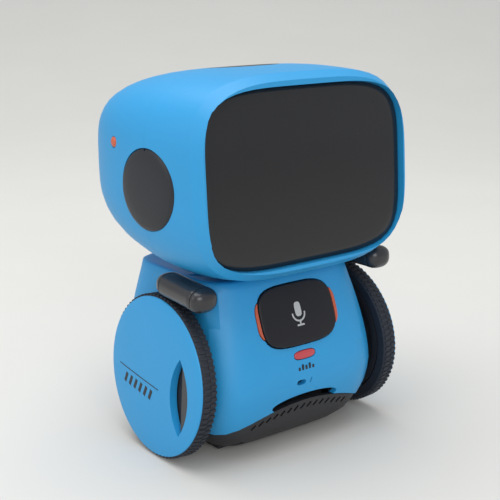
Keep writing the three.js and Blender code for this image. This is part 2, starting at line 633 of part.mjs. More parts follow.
// Record button, its light ring, switch and board.
const button = buttonTool(buttonPlate(buttonOutline(0), PROUD, BUTTON_THICKNESS - PROUD));
add("record_button", button, "black");
const ringFloor = BUTTON_THICKNESS - PROUD + BUTTON_TRAVEL + GAP;
const lightRing = cut(
  buttonTool(buttonPlate(glowOutline(0), PROUD * 0.4, ringFloor + 1)),
  buttonTool(buttonPlate(buttonOutline(GAP), 5, ringFloor)),
  buttonTool(buttonPlate(buttonOutline(-5), 5, ringFloor + 2)),
);
add("button_light_ring", lightRing, "orange");
const behindButton = (x, out, up) => {
  const geometry = new THREE.BoxGeometry(x[1] - x[0], out[1] - out[0], up[1] - up[0]);
  return buttonTool(geometry.translate((x[0] + x[1]) / 2, (out[0] + out[1]) / 2, (up[0] + up[1]) / 2));
};
const boardDepth = BUTTON_THICKNESS + BUTTON_TRAVEL + 3.5;
add("button_board", behindButton([-14, 14], [boardDepth, boardDepth + 1.2], [-8, 8]), "board");
add("tact_switch", behindButton([-3, 3], [BUTTON_THICKNESS + BUTTON_TRAVEL, boardDepth - GAP], [-3, 3]), "black");
add(
  "record_lens",
  placed(
    plate(pill(RECORD_LENS_WIDTH, RECORD_LENS_HEIGHT, 0), 0, WALL + 0.6).rotateX(Math.PI / 2),
    0,
    bodyFrontAt(RECORD_LENS_Z) + WALL + 0.5,
    RECORD_LENS_Z,
  ),
  "red",
);
const micFront = bodyFrontAt(MIC_SLOT_Z) + WALL + 0.5;
add("microphone", rod("y", micFront, micFront + 2.7, 3, [0, MIC_SLOT_Z], 18), "steel");

// ---------------------------------------------------------------- base tray, battery bay and tail ball
const trayOutside = bodySolid(BODY_STATIONS.slice(0, 6), TRAY_INSET).intersect(underSkirt(-GAP));
const trayInside = bodySolid(
  [{ ...BODY_STATIONS[1], at: TRAY_FLOOR / BODY_TOP }, ...BODY_STATIONS.slice(2, 6)],
  TRAY_INSET + TRAY_WALL,
);
const bayHalfX = BATTERY_LENGTH / 2 + 1.5;
const bayY = [BATTERY_ROW_Y - 1.5 * BATTERY_PITCH, BATTERY_ROW_Y + 1.5 * BATTERY_PITCH];
const COVER_SCREW = [11, bayY[1] + 2.6];
const coverShape = (shrink, z) =>
  join(
    block([-bayHalfX + 1 + shrink, bayHalfX - 1 - shrink], [bayY[0] + 0.6 + shrink, bayY[1] - 0.6 - shrink], z),
    block(
      [COVER_SCREW[0] - 3 + shrink, COVER_SCREW[0] + 3 - shrink],
      [COVER_SCREW[1] - 5, COVER_SCREW[1] + 2.8 - shrink],
      [z[0], Math.min(z[1], TRAY_FLOOR)],
    ),
  );
const coverOpening = coverShape(0, [-2, TRAY_FLOOR + 0.5]);
const coverPost = block(
  [COVER_SCREW[0] - 4.2, COVER_SCREW[0] + 4.2],
  [bayY[1] - 0.3, COVER_SCREW[1] + 4.2],
  [TRAY_FLOOR - 0.5, TRAY_FLOOR + 3],
);
const coverPilot = rod("z", 0, TRAY_FLOOR + 2.4, 0.8 + GAP, COVER_SCREW, 12);
const slotRow = Array.from({ length: GRILLE_SLOTS }, (_, i) => {
  const x = (i - (GRILLE_SLOTS - 1) / 2) * GRILLE_PITCH;
  const z = SKIRT_HEIGHT - 2.6 - SKIRT_DROP * (x / (BODY_WIDTH / 2 + 2)) ** 2;
  const slot = new THREE.BoxGeometry(0.8, 6, 1.9).rotateY(THREE.MathUtils.degToRad(40));
  return placed(slot, x, bodyFrontAt(z) + 1.5, z);
});
const SCREW_HEAD_RADIUS = 1.9;
const trayScrewTop = BOSS_FOOT - GAP;
const trayPosts = bossPlaces.map((place) =>
  rod("z", TRAY_FLOOR - 0.8, trayScrewTop, BASE_BOSS_RADIUS + GAP, place, 14),
);
const trayScrewHoles = bossPlaces.flatMap(([x, y]) => [
  rod("z", -2, trayScrewTop - 1.5, SCREW_HEAD_RADIUS + GAP, [x, y], 14),
  rod("z", 0, 16, 1 + GAP, [x, y], 12),
]);
const ballPlace = [0, BALL_Y, BALL_RADIUS];
const ballRoom = (grow) => placed(new THREE.SphereGeometry(BALL_RADIUS + grow, 20, 12), ...ballPlace);
const ballCup = rod("z", FLOOR_CLEARANCE + 0.6, BALL_RADIUS * 2 + RUN + 1, BALL_RADIUS + RUN + 0.7, [0, BALL_Y], 20);
const switchY = bayY[1] + 5.2;
const SWITCH_X = -10.4;
const switchOpening = block(
  [SWITCH_X - 2 - SWITCH_TRAVEL / 2, SWITCH_X + 2 + SWITCH_TRAVEL / 2],
  [switchY - 1.6, switchY + 1.6],
  [-2, TRAY_FLOOR + 3],
);
const trayBlank = bodySolid(BODY_STATIONS.slice(0, 6), TRAY_INSET + 0.5);
const tray = cut(
  join(
    cut(trayOutside, trayInside),
    ...trayPosts.map((post) => post.intersect(trayBlank)),
    ballCup.intersect(trayBlank),
    coverPost,
  ),
  coverOpening,
  coverPilot,
  ...slotRow,
  ...trayScrewHoles,
  ballRoom(RUN),
  switchOpening,
);
add("base_tray", tray, "black");
bossPlaces.forEach(([x, y], i) => {
  const mesh = add("base_screw_" + (i + 1), screw(10, SCREW_HEAD_RADIUS - 0.2), "steel");
  mesh.rotation.x = Math.PI / 2;
  mesh.position.set(x, y, trayScrewTop - 1.5 - 1.3 - GAP);
});

const coverPlate = coverShape(GAP, [FLOOR_CLEARANCE, FLOOR_CLEARANCE + COVER_THICKNESS]);
const coverScrewHole = join(
  rod("z", 0, FLOOR_CLEARANCE + 0.8, 1.6 + GAP, COVER_SCREW, 14),
  rod("z", 0, FLOOR_CLEARANCE + 3, 0.8 + GAP, COVER_SCREW, 12),
);
add("battery_cover", cut(coverPlate, coverScrewHole), "black");
const coverScrew = solidOf(
  new THREE.LatheGeometry(
    [[0, 0], [1.6, 0], [1.6, 0.5], [0.8, 0.5], [0.8, 3], [0, 3.6]].map(([r, y]) => new THREE.Vector2(r, y)),
    12,
  ).rotateX(Math.PI / 2),
);
add("cover_screw", coverScrew, "steel").position.set(...COVER_SCREW, FLOOR_CLEARANCE);
for (let i = 0; i < 3; i++) {
  const y = BATTERY_ROW_Y + (i - 1) * BATTERY_PITCH;
  const flip = i % 2 ? -1 : 1;
  const cell = join(
    rod("x", -BATTERY_LENGTH / 2, BATTERY_LENGTH / 2 - 1, BATTERY_RADIUS, [y, BATTERY_Z], 20),
    rod("x", BATTERY_LENGTH / 2 - 2, BATTERY_LENGTH / 2, 1.9, [y, BATTERY_Z], 12),
  );
  add("battery_" + (i + 1), cell, "steel").scale.x = flip;
}
for (const [side, direction] of [["left", 1], ["right", -1]]) {
  const inner = direction * (BATTERY_LENGTH / 2 + GAP);
  const outer = direction * (BATTERY_LENGTH / 2 + GAP + 0.5);
  const span = [Math.min(inner, outer), Math.max(inner, outer)];
  add("battery_contact_" + side, block(span, [bayY[0] + 2, bayY[1] - 2], [BATTERY_Z - 3, BATTERY_Z + 4]), "brass");
}
add("tail_ball", ballRoom(0), "steel");
add(
  "switch_body",
  block(
    [SWITCH_X - 5, SWITCH_X + 5],
    [switchY - 2.2, switchY + 2.2],
    [TRAY_FLOOR + GAP + 1.2, TRAY_FLOOR + 5],
  ),
  "steel",
);
const knobShift = -SWITCH_TRAVEL / 2;
add(
  "power_knob",
  join(
    block([SWITCH_X - 1.5, SWITCH_X + 1.5], [switchY - 1.2, switchY + 1.2], [FLOOR_CLEARANCE + 0.2, TRAY_FLOOR + 0.9]),
  ),
  "black",
).position.x = knobShift;
const SPEAKER_HALF = 12;
const speakerFront = bodyFrontAt(6) + TRAY_INSET + TRAY_WALL + 1.6;
add("speaker", block([-SPEAKER_HALF, SPEAKER_HALF], [speakerFront, speakerFront + 3.6], [5, 13.6]), "black");
add("main_board", block([-21, 21], [BODY_REAR - 13.4, BODY_REAR - 11.8], [17, 45]), "board");

// ---------------------------------------------------------------- neck
const retainerFoot = NECK_SEAT + GAP;
const retainerTop = retainerFoot + RETAINER_THICKNESS;
const POST_TOP = retainerTop + GAP + NECK_TIP;
const flange = [BODY_TOP - WALL - GAP - 2, BODY_TOP - WALL - GAP];
const grooveRadius = NECK_RADIUS - 0.9;
const neckPost = cut(
  join(
    rod("z", flange[0], POST_TOP, NECK_RADIUS, [0, 0], 28),
    rod("z", ...flange, NECK_RADIUS + 3, [0, 0], 28),
    rod("z", BODY_TOP + GAP, HEAD_UNDERSIDE + 0.1, NECK_RADIUS + NECK_COLLAR, [0, 0], 28),
  ),
  rod("z", BODY_TOP - 10, POST_TOP + 1, NECK_BORE, [0, 0], 20),
  cut(
    rod("z", retainerFoot - GAP, retainerTop + GAP, NECK_RADIUS + 2, [0, 0], 28),
    rod("z", BODY_TOP, POST_TOP, grooveRadius, [0, 0], 28),
  ),
);
add("neck_post", neckPost, "black");
const retainer = cut(
  rod("z", retainerFoot, retainerTop, NECK_RADIUS + 2.2, [0, 0], 28),
  rod("z", BODY_TOP, POST_TOP, grooveRadius + GAP, [0, 0], 28),
);
add("neck_retainer", retainer, "steel");

// ---------------------------------------------------------------- wheels and drive
function ringOutline(count, radii) {
  return Array.from({ length: count * radii.length }, (_, i) => {
    const angle = (2 * Math.PI * i) / (count * radii.length);
    return new THREE.Vector2(0, radii[i % radii.length]).rotateAround(new THREE.Vector2(), angle);
  });
}
// An extruded outline whose thickness runs along X, from `from` to `to`.
const discOf = (outline, from, to) =>
  solidOf(plate(outline, from, to).rotateZ(Math.PI / 2).rotateY(Math.PI / 2));

const tyreFace = TYRE_WIDTH / 2;
const capSeat = tyreFace - HUB_THICKNESS;
const tyre = cut(
  discOf(ringOutline(TREAD_RIBS, [TYRE_RADIUS, TYRE_RADIUS, TYRE_RADIUS - TREAD_DEPTH, TYRE_RADIUS - TREAD_DEPTH]), -tyreFace, tyreFace - 0.3),
  rod("x", -TYRE_WIDTH, TYRE_WIDTH, TYRE_RADIUS - TYRE_SECTION, [0, 0], 40),
  rod("x", capSeat, TYRE_WIDTH, HUB_RADIUS + GAP, [0, 0], 48),
);
const discRadius = TYRE_RADIUS - TYRE_SECTION - GAP;
const wheelDisc = cut(
  placed(
    turned(
      [[0, -tyreFace - 0.8], [4, -tyreFace - 0.8], [4, -tyreFace + 0.8], [discRadius - 2, -tyreFace + 0.8],
        [discRadius - 2, -tyreFace], [discRadius, -tyreFace], [discRadius, capSeat - GAP],
        [0, capSeat - GAP]],
      40,
    ),
  ),
  rod("x", -20, 0, AXLE_RADIUS + GAP, [0, 0], 16),
);

// Lens-shaped pocket: a ramp on its inner half and a slot through its outer half.
function lensOutline(from, to) {
  const half = LENS_CUT_LENGTH / 2;
  const bulge = LENS_CUT_WIDTH / 2;
  const radius = (half ** 2 + bulge ** 2) / (2 * bulge);
  const sweep = Math.asin(half / radius);
  const arc = (direction) =>
    Array.from({ length: 9 }, (_, i) => {
      const angle = -sweep + (2 * sweep * i) / 8;
      const across = direction * (radius * Math.cos(angle) - radius + bulge);
      return new THREE.Vector2(across, direction * radius * Math.sin(angle));
    });
  const straight = [new THREE.Vector2(0, -half), new THREE.Vector2(0, half)];
  const outline = [...(to ? arc(1) : straight), ...(from ? arc(-1) : [])];
  return outline.filter((p, i) => i === 0 || p.distanceTo(outline[i - 1]) > 1e-6);
}
const lensFrame = (solidGeometry) => placed(solidGeometry, 0, -LENS_CUT_RADIUS, -2.5);
const acrossY = (geometry) => geometry.rotateZ(Math.PI / 2).rotateY(Math.PI / 2);
const slotHalf = lensFrame(acrossY(plate(lensOutline(true, false), -5, 8)));
const rampSide = lensFrame(acrossY(plate(lensOutline(false, true), -5, 8)));
const rampDepth = HUB_THICKNESS + HUB_DOME - 0.7;
const rampTool = lensFrame(
  new THREE.BoxGeometry(10, 30, 40)
    .translate(5, 15, 0)
    .rotateZ(-Math.atan2(rampDepth, LENS_CUT_WIDTH / 2))
    .translate(tyreFace + HUB_DOME - 0.1 - rampDepth, -0.2, 2.5),
);
const hubCap = cut(
  placed(
    turned(
      [[0, capSeat], [HUB_RADIUS, capSeat], [HUB_RADIUS, tyreFace], [HUB_RADIUS - 0.5, tyreFace + GAP],
        [HUB_RADIUS * 0.72, tyreFace + HUB_DOME * 0.75], [HUB_RADIUS * 0.4, tyreFace + HUB_DOME],
        [0, tyreFace + HUB_DOME + 0.1]],
      48,
    ),
  ),
  slotHalf,
  rampSide.intersect(rampTool),
);
const axle = rod("x", -AXLE_REACH, -0.5, AXLE_RADIUS, [0, 0], 16);

// Straight-sided gear outline, a little slimmer than half the pitch for backlash.
function gearOutline(teeth) {
  const pitch = (GEAR_MODULE * teeth) / 2;
  const tip = pitch + GEAR_MODULE * 0.85;
  const root = pitch - GEAR_MODULE * 1.2;
  const step = (2 * Math.PI) / teeth;
  const corners = [[-0.27, root], [-0.11, tip], [0.11, tip], [0.27, root]];
  return Array.from({ length: teeth }, (_, i) =>
    corners.map(([share, r]) => new THREE.Vector2(r * Math.cos((i + share) * step), r * Math.sin((i + share) * step))),
  ).flat();
}
const gearEnd = GEAR_FACE - GEAR_WIDTH;
const driveGear = cut(
  discOf(gearOutline(DRIVE_TEETH), gearEnd, GEAR_FACE),
  rod("x", -30, 0, AXLE_RADIUS + GAP, [0, 0], 16),
);
const meshTurn = PINION_ANGLE + Math.PI + Math.PI / PINION_TEETH;
const pinion = join(
  discOf(
    gearOutline(PINION_TEETH).map((p) => p.rotateAround(new THREE.Vector2(), 0)),
    gearEnd,
    GEAR_FACE,
  ),
  rod("x", gearEnd - 5, GEAR_FACE, 0.75, [0, 0], 12),
);
const plateFace = gearEnd - 0.6;
const PLATE_THICKNESS = 1.4;
const motorFace = plateFace - PLATE_THICKNESS - GAP;
const motor = cut(
  rod("x", motorFace - MOTOR_LENGTH, motorFace, MOTOR_RADIUS, [0, 0], 24),
  rod("x", gearEnd - 6, 0, 1.1, [0, 0], 12),
);

for (const [side, mirror] of [["left", 1], ["right", -1]]) {
  const flank = new THREE.Group();
  flank.scale.x = mirror;
  const wheel = new THREE.Group();
  wheel.position.set(WHEEL_X, AXLE_Y, AXLE_Z);
  wheel.rotation.y = -CAMBER;
  flank.add(wheel);
  group.add(flank);
  add("tyre_" + side, tyre, "rubber", wheel);
  add("wheel_disc_" + side, wheelDisc, "black", wheel);
  add("hub_cap_" + side, hubCap, "blue", wheel);
  add("axle_" + side, axle, "steel", wheel);
  add("drive_gear_" + side, driveGear, "white", wheel);
  const motorPlace = new THREE.Vector3(0, Math.cos(PINION_ANGLE), Math.sin(PINION_ANGLE)).multiplyScalar(CENTRE_DISTANCE);
  const pinionMesh = add("motor_pinion_" + side, pinion, "brass", wheel);
  pinionMesh.position.copy(motorPlace);
  pinionMesh.rotation.x = meshTurn;
  add("motor_" + side, motor, "steel", wheel).position.copy(motorPlace);
}

// One frame holds both axles and both motors: a bridge over the batteries with an upright at each side.
const uprightShape = (mirror) => {
  const geometry = new THREE.BoxGeometry(PLATE_THICKNESS, 26, 30);
  const upright = cut(
    placed(geometry, plateFace - PLATE_THICKNESS / 2, 4, 5),
    rod("x", -30, 0, AXLE_RADIUS + RUN, [0, 0], 18),
    rod("x", -30, 0, 1.4, [CENTRE_DISTANCE * Math.cos(PINION_ANGLE), CENTRE_DISTANCE * Math.sin(PINION_ANGLE)], 14),
  );
  const turnedGeometry = geometryOf(upright).rotateY(-CAMBER).translate(WHEEL_X, AXLE_Y, AXLE_Z).scale(mirror, 1, 1);
  return solidOf(turnedGeometry);
};
const bridgeZ = BATTERY_Z + BATTERY_RADIUS + GAP;
const frameRoom = block([-WIDE, WIDE], [-WIDE, WIDE], [bridgeZ, OVERALL_HEIGHT]);
const bridgeHalf = WHEEL_X + plateFace - PLATE_THICKNESS / 2;
add(
  "drive_frame",
  join(
    block([-bridgeHalf, bridgeHalf], [AXLE_Y - 9, AXLE_Y + 17], [bridgeZ, bridgeZ + 1.4]),
    uprightShape(1).intersect(frameRoom),
    uprightShape(-1).intersect(frameRoom),
  ),
  "white",
);

// ---------------------------------------------------------------- arms
// Stations along the arm: reach from the pivot, then the share of its full width and height.
const ARM_STATIONS = [
  [-0.185, 0.35], [-0.165, 0.62], [-0.11, 0.87], [0, 1], [0.42, 0.98], [0.81, 1.03],
];
const HAND_STATIONS = [[0, 1.03], [0.35, 1], [0.7, 0.84], [0.9, 0.58], [1, 0.3]];
const armRing = (reach, share) =>
  oval(ARM_HALF_WIDTH * share, ARM_HALF_HEIGHT * share, 2.4, 20).map((p) => new THREE.Vector3(p.x, -reach, p.y));
const armBar = loft(ARM_STATIONS.map(([reach, share]) => armRing(reach * ARM_REACH, share)));
const handFoot = ARM_STATIONS.at(-1)[0] * ARM_REACH + GAP;
const hand = loft(HAND_STATIONS.map(([at, share]) => armRing(handFoot + at * (ARM_REACH - handFoot), share)));
const lugLevel = lugSpan(GAP).map((z) => z - ARM_Z);
const lugRoom = block([-3 * ARM_HALF_WIDTH, LUG_RADIUS + RUN], [-LUG_RADIUS - RUN, 3 * ARM_HALF_WIDTH], lugLevel);
const armPin = rod("z", lugLevel[0] - 0.6, lugLevel[1] + 0.6, ARM_PIN_RADIUS, [0, 0], 14);
const dipped = (solid, dip) => solidOf(geometryOf(solid).rotateX(dip));
for (const [side, mirror, dip] of [["left", 1, LEFT_ARM_DIP], ["right", -1, RIGHT_ARM_DIP]]) {
  const flank = new THREE.Group();
  flank.scale.x = mirror;
  const shoulder = new THREE.Group();
  shoulder.position.set(ARM_X, ARM_Y, ARM_Z);
  flank.add(shoulder);
  group.add(flank);
  add("arm_" + side, join(cut(dipped(armBar, dip), lugRoom), armPin), "black", shoulder);
  add("hand_" + side, dipped(hand, dip), "smoked", shoulder);
}

export default group;
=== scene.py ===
"""Looks of the coding robot: its shells, wheels, arms, buttons and lenses, modelled over the CAD frame."""
import json
import math

import bmesh
import bpy
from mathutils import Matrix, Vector


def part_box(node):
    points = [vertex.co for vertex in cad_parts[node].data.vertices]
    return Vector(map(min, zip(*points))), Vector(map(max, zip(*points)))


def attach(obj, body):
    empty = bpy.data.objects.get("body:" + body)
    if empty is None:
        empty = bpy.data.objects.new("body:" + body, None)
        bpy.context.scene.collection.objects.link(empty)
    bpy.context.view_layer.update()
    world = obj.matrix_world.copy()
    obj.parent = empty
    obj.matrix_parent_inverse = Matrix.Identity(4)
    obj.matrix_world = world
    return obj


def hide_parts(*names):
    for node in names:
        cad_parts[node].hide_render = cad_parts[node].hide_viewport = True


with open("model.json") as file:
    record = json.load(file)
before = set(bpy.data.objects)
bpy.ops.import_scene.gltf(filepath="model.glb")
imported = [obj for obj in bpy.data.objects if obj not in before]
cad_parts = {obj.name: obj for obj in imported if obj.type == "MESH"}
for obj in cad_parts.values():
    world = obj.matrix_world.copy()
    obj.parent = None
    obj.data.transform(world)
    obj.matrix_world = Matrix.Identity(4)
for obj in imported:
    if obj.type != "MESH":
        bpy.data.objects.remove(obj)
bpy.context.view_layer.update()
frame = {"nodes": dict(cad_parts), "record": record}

MM = 0.001
SHARP = math.radians(35)  # edges bent more than this are softened
joints = frame["record"]["behaviour"]["joints"]
JOINT_AT = {joint["name"]: joint.get("pos_m") for joint in joints}
JOINT_AXIS = {joint["name"]: joint["axis"] for joint in joints}


def middle_of(node):
    """The middle of a CAD node's box."""
    low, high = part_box(node)
    return [(low[k] + high[k]) / 2 for k in range(3)]


# ---------------------------------------------------------------- bench tools
def take(part):
    bpy.ops.object.select_all(action="DESELECT")
    part.select_set(True)
    bpy.context.view_layer.objects.active = part
    return part


def new_part(name):
    part = bpy.context.object
    part.name = name
    return take(part)


def settle(part):
    take(part)
    bpy.ops.object.transform_apply(location=True, rotation=True, scale=True)
    return part


def edit(part):
    take(part)
    bpy.ops.object.mode_set(mode="EDIT")
    bpy.ops.mesh.select_mode(type="FACE")


def done():
    bpy.ops.object.mode_set(mode="OBJECT")


def select_faces(part, wanted):
    mesh = bmesh.from_edit_mesh(part.data)
    bpy.ops.mesh.select_all(action="DESELECT")
    for face in mesh.faces:
        if wanted(face.calc_center_median(), face.normal):
            face.select_set(True)
    mesh.select_flush_mode()
    bmesh.update_edit_mesh(part.data)


def outwards(part):
    edit(part)
    bpy.ops.mesh.select_all(action="SELECT")
    bpy.ops.mesh.remove_doubles(threshold=1e-7)
    bpy.ops.mesh.normals_make_consistent(inside=False)
    done()
    return part


def smooth(part, angle=35):
    take(part)
    bpy.ops.object.shade_smooth_by_angle(angle=math.radians(angle))
    return part


def finish_modifier(part, kind, **settings):
    take(part)
    modifier = part.modifiers.new(kind.title(), kind)
    for key, value in settings.items():
        setattr(modifier, key, value)
    bpy.ops.object.modifier_apply(modifier=modifier.name)
    return part


def soften(part, width, segments=2):
    return finish_modifier(part, "BEVEL", width=width, segments=segments, limit_method="ANGLE",
                           angle_limit=SHARP, harden_normals=False)


def carve(part, *cutters, keep=False, operation="DIFFERENCE"):
    for cutter in cutters:
        finish_modifier(part, "BOOLEAN", object=cutter, operation=operation, solver="EXACT")
        if not keep:
            bpy.data.objects.remove(cutter)
    return part


def weld(name, *parts):
    bpy.ops.object.select_all(action="DESELECT")
    for part in parts:
        part.select_set(True)
    bpy.context.view_layer.objects.active = parts[0]
    bpy.ops.object.join()
    return new_part(name)


def copy_of(part, name):
    twin = part.copy()
    twin.data = part.data.copy()
    twin.name = name
    bpy.context.collection.objects.link(twin)
    return twin


def other_side(part, name):
    """The same piece on the robot's other side."""
    twin = copy_of(part, name)
    twin.scale.x = -1
    settle(twin)
    return outwards(twin)


def rounded_sheet(name, squareness, segments=10):
    """A flat sheet two units across whose outline runs from round to nearly square."""
    bpy.ops.object.select_all(action="DESELECT")
    bpy.ops.mesh.primitive_plane_add(size=2)
    sheet = new_part(name)
    edit(sheet)
    bpy.ops.mesh.select_all(action="SELECT")
    bpy.ops.mesh.bevel(offset=1, affect="VERTICES", segments=segments, profile=2 ** (-2 / squareness))
    bpy.ops.mesh.remove_doubles(threshold=1e-4)
    done()
    return sheet


def grow(name, squareness, stations, upright=False, segments=10):
    """Extrudes a rounded sheet from station to station: (middle, half width, half height, lean).
    Upright forms grow along Z, the others along Y from the front backwards."""
    part = rounded_sheet(name, squareness, segments)
    if not upright:
        part.rotation_euler.x = math.pi / 2
        settle(part)
    at, wide, high, lean = Vector((0, 0, 0)), 1.0, 1.0, 0.0
    edit(part)
    bpy.ops.mesh.select_all(action="SELECT")
    for i, (middle, new_wide, new_high, new_lean) in enumerate(stations):
        middle = Vector(middle)
        if i:
            bpy.ops.mesh.extrude_region_move(TRANSFORM_OT_translate={"value": middle - at})
        else:
            bpy.ops.transform.translate(value=middle)
        if lean:
            bpy.ops.transform.rotate(value=-lean, orient_axis="X", center_override=middle)
        x, other = new_wide / wide, new_high / high
        bpy.ops.transform.resize(value=(x, other, 1) if upright else (x, 1, other), center_override=middle)
        if new_lean:
            bpy.ops.transform.rotate(value=new_lean, orient_axis="X", center_override=middle)
        at, wide, high, lean = middle, new_wide, new_high, new_lean
    done()
    return outwards(part)


def plate(name, squareness, wide, high, front, back, middle, lean=0.0, segments=8):
    """A flat piece facing forwards, from `front` to `back` behind `middle`, leaning back by `lean`."""
    stations = [((0, y, 0), wide / 2, high / 2, 0) for y in (front, back)]
    part = grow(name, squareness, stations, segments=segments)
    part.rotation_euler.x = -lean
    part.location = middle
    return settle(part)


def drum(name, radius, length, middle, axis="X", sides=64):
    bpy.ops.object.select_all(action="DESELECT")
    turn = {"X": (0, math.pi / 2, 0), "Y": (math.pi / 2, 0, 0), "Z": (0, 0, 0)}[axis]
    bpy.ops.mesh.primitive_cylinder_add(vertices=sides, radius=radius, depth=length, rotation=turn)
    part = new_part(name)
    part.location = middle
    return settle(part)


def bar(name, size, middle, turn=(0, 0, 0)):
    bpy.ops.object.select_all(action="DESELECT")
    bpy.ops.mesh.primitive_cube_add(size=1)
    part = new_part(name)
    part.scale = size
    settle(part)
    part.rotation_euler = turn
    part.location = middle
    return settle(part)


def turned(name, profile, sides=96):
    """A piece turned round X: the profile is (place along X, radius) from the axis and back to it."""
    bpy.ops.object.select_all(action="DESELECT")
    bpy.ops.mesh.primitive_plane_add(size=1)
    part = new_part(name)
    edit(part)
    mesh = bmesh.from_edit_mesh(part.data)
    bmesh.ops.delete(mesh, geom=mesh.verts[:], context="VERTS")
    points = [mesh.verts.new((x, 0, r)) for x, r in profile]
    for a, b in zip(points, points[1:]):
        mesh.edges.new((a, b)).select_set(True)
    bmesh.update_edit_mesh(part.data)
    bpy.ops.mesh.select_all(action="SELECT")
    bpy.ops.mesh.spin(steps=sides, angle=2 * math.pi, center=(0, 0, 0), axis=(1, 0, 0))
    bpy.ops.mesh.select_all(action="SELECT")
    bpy.ops.mesh.remove_doubles(threshold=2e-6)
    done()
    return outwards(part)


def bisect(part, place, normal, fill=False):
    edit(part)
    bpy.ops.mesh.select_all(action="SELECT")
    bpy.ops.mesh.bisect(plane_co=place, plane_no=normal, clear_outer=True, use_fill=fill)
    done()
    return part


# ---------------------------------------------------------------- finishes
GRAIN_SCALE = 900
GRAIN_DEPTH = 0.2 * MM
GLOSS_SPREAD = 0.06


def finish(name, colour, roughness, variation=0.06, grain=0.0, bump=0.02, coat=0.0, cloud_scale=14,
           specular=0.5, coat_roughness=0.1, metallic=0.0):
    """Moulded plastic, rubber or metal: clouded colour, uneven gloss and a fine grain in the surface."""
    material = bpy.data.materials.new(name)
    material.use_nodes = True
    nodes, links = material.node_tree.nodes, material.node_tree.links
    shader = nodes["Principled BSDF"]
    place = nodes.new("ShaderNodeTexCoord")
    cloud = nodes.new("ShaderNodeTexNoise")
    cloud.inputs["Scale"].default_value = cloud_scale
    cloud.inputs["Detail"].default_value = 3
    links.new(place.outputs["Object"], cloud.inputs["Vector"])
    tint = nodes.new("ShaderNodeValToRGB")
    dark, light = tint.color_ramp.elements
    dark.position = 0.3
    light.position = 0.7
    dark.color = [c * (1 - variation) for c in colour] + [1]
    light.color = [min(1, c * (1 + variation)) for c in colour] + [1]
    links.new(cloud.outputs["Fac"], tint.inputs["Fac"])
    links.new(tint.outputs["Color"], shader.inputs["Base Color"])
    fine = nodes.new("ShaderNodeTexNoise")
    fine.inputs["Scale"].default_value = GRAIN_SCALE
    fine.inputs["Detail"].default_value = 4
    links.new(place.outputs["Object"], fine.inputs["Vector"])
    gloss = nodes.new("ShaderNodeMapRange")
    gloss.inputs["To Min"].default_value = max(0.02, roughness - GLOSS_SPREAD - grain)
    gloss.inputs["To Max"].default_value = min(1, roughness + GLOSS_SPREAD + grain)
    links.new(fine.outputs["Fac"], gloss.inputs["Value"])
    links.new(gloss.outputs["Result"], shader.inputs["Roughness"])
    raised = nodes.new("ShaderNodeBump")
    raised.inputs["Strength"].default_value = bump
    raised.inputs["Distance"].default_value = GRAIN_DEPTH
    links.new(fine.outputs["Fac"], raised.inputs["Height"])
    links.new(raised.outputs["Normal"], shader.inputs["Normal"])
    shader.inputs["Metallic"].default_value = metallic
    shader.inputs["Specular IOR Level"].default_value = specular
    shader.inputs["Coat Weight"].default_value = coat
    shader.inputs["Coat Roughness"].default_value = coat_roughness
    return material


shell_blue = finish("shell_blue", (0.018, 0.295, 0.62), 0.46, 0.025, bump=0.05)
tray_black = finish("tray_black", (0.018, 0.018, 0.022), 0.5, 0.15, bump=0.12)
arm_black = finish("arm_black", (0.016, 0.016, 0.02), 0.34, 0.12, bump=0.05, coat=0.35, coat_roughness=0.14)
ear_grey = finish("ear_grey", (0.008, 0.01, 0.016), 0.42, 0.1, bump=0.1)
visor_glass = finish("visor_glass", (0.008, 0.008, 0.01), 0.3, 0.1, bump=0.002, coat=0.35, specular=0.35)
button_black = finish("button_black", (0.012, 0.012, 0.016), 0.4, 0.1, bump=0.03, specular=0.3)
tyre_rubber = finish("tyre_rubber", (0.012, 0.016, 0.026), 0.62, 0.2, grain=0.05, bump=0.3)
light_orange = finish("light_orange", (0.55, 0.1, 0.045), 0.4, 0.08, coat=0.2)
lens_red = finish("lens_red", (0.5, 0.045, 0.06), 0.3, 0.08, coat=0.4)
print_white = finish("print_white", (0.46, 0.47, 0.48), 0.5, 0.05)
print_dark = finish("print_dark", (0.008, 0.012, 0.02), 0.5, 0.1)
steel = finish("steel", (0.42, 0.42, 0.44), 0.32, 0.08, bump=0.05, metallic=1.0, cloud_scale=200)
brass = finish("brass", (0.62, 0.42, 0.14), 0.3, 0.08, bump=0.05, metallic=1.0, cloud_scale=200)
board_green = finish("board_green", (0.01, 0.1, 0.035), 0.4, 0.2, bump=0.1, cloud_scale=120)
acetal_white = finish("acetal_white", (0.7, 0.7, 0.66), 0.45, 0.03, bump=0.04)
SLOT_FINISH = {
    "blue_shell": shell_blue,
    "black_plastic": tray_black,
    "smoked_gloss": arm_black,
    "tyre_rubber": tyre_rubber,
    "orange_lens": light_orange,
    "red_lens": lens_red,
    "circuit_board": board_green,
    "white_plastic": acetal_white,
    "steel": steel,
    "brass": brass,
}
for entry in frame["record"]["subparts"]:
    node = frame["nodes"][entry["node"]]
    node.data.materials.clear()
    node.data.materials.append(SLOT_FINISH[entry["material_slot"]])


def fit(part, material, slot, body, *nodes):
    """Gives a finished piece its material and its body, and hides the CAD nodes it stands for; `slot` is not
    used.
    """
    part.data.materials.clear()
    part.data.materials.append(material)
    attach(part, body)
    if nodes:
        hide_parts(*nodes)
    return part


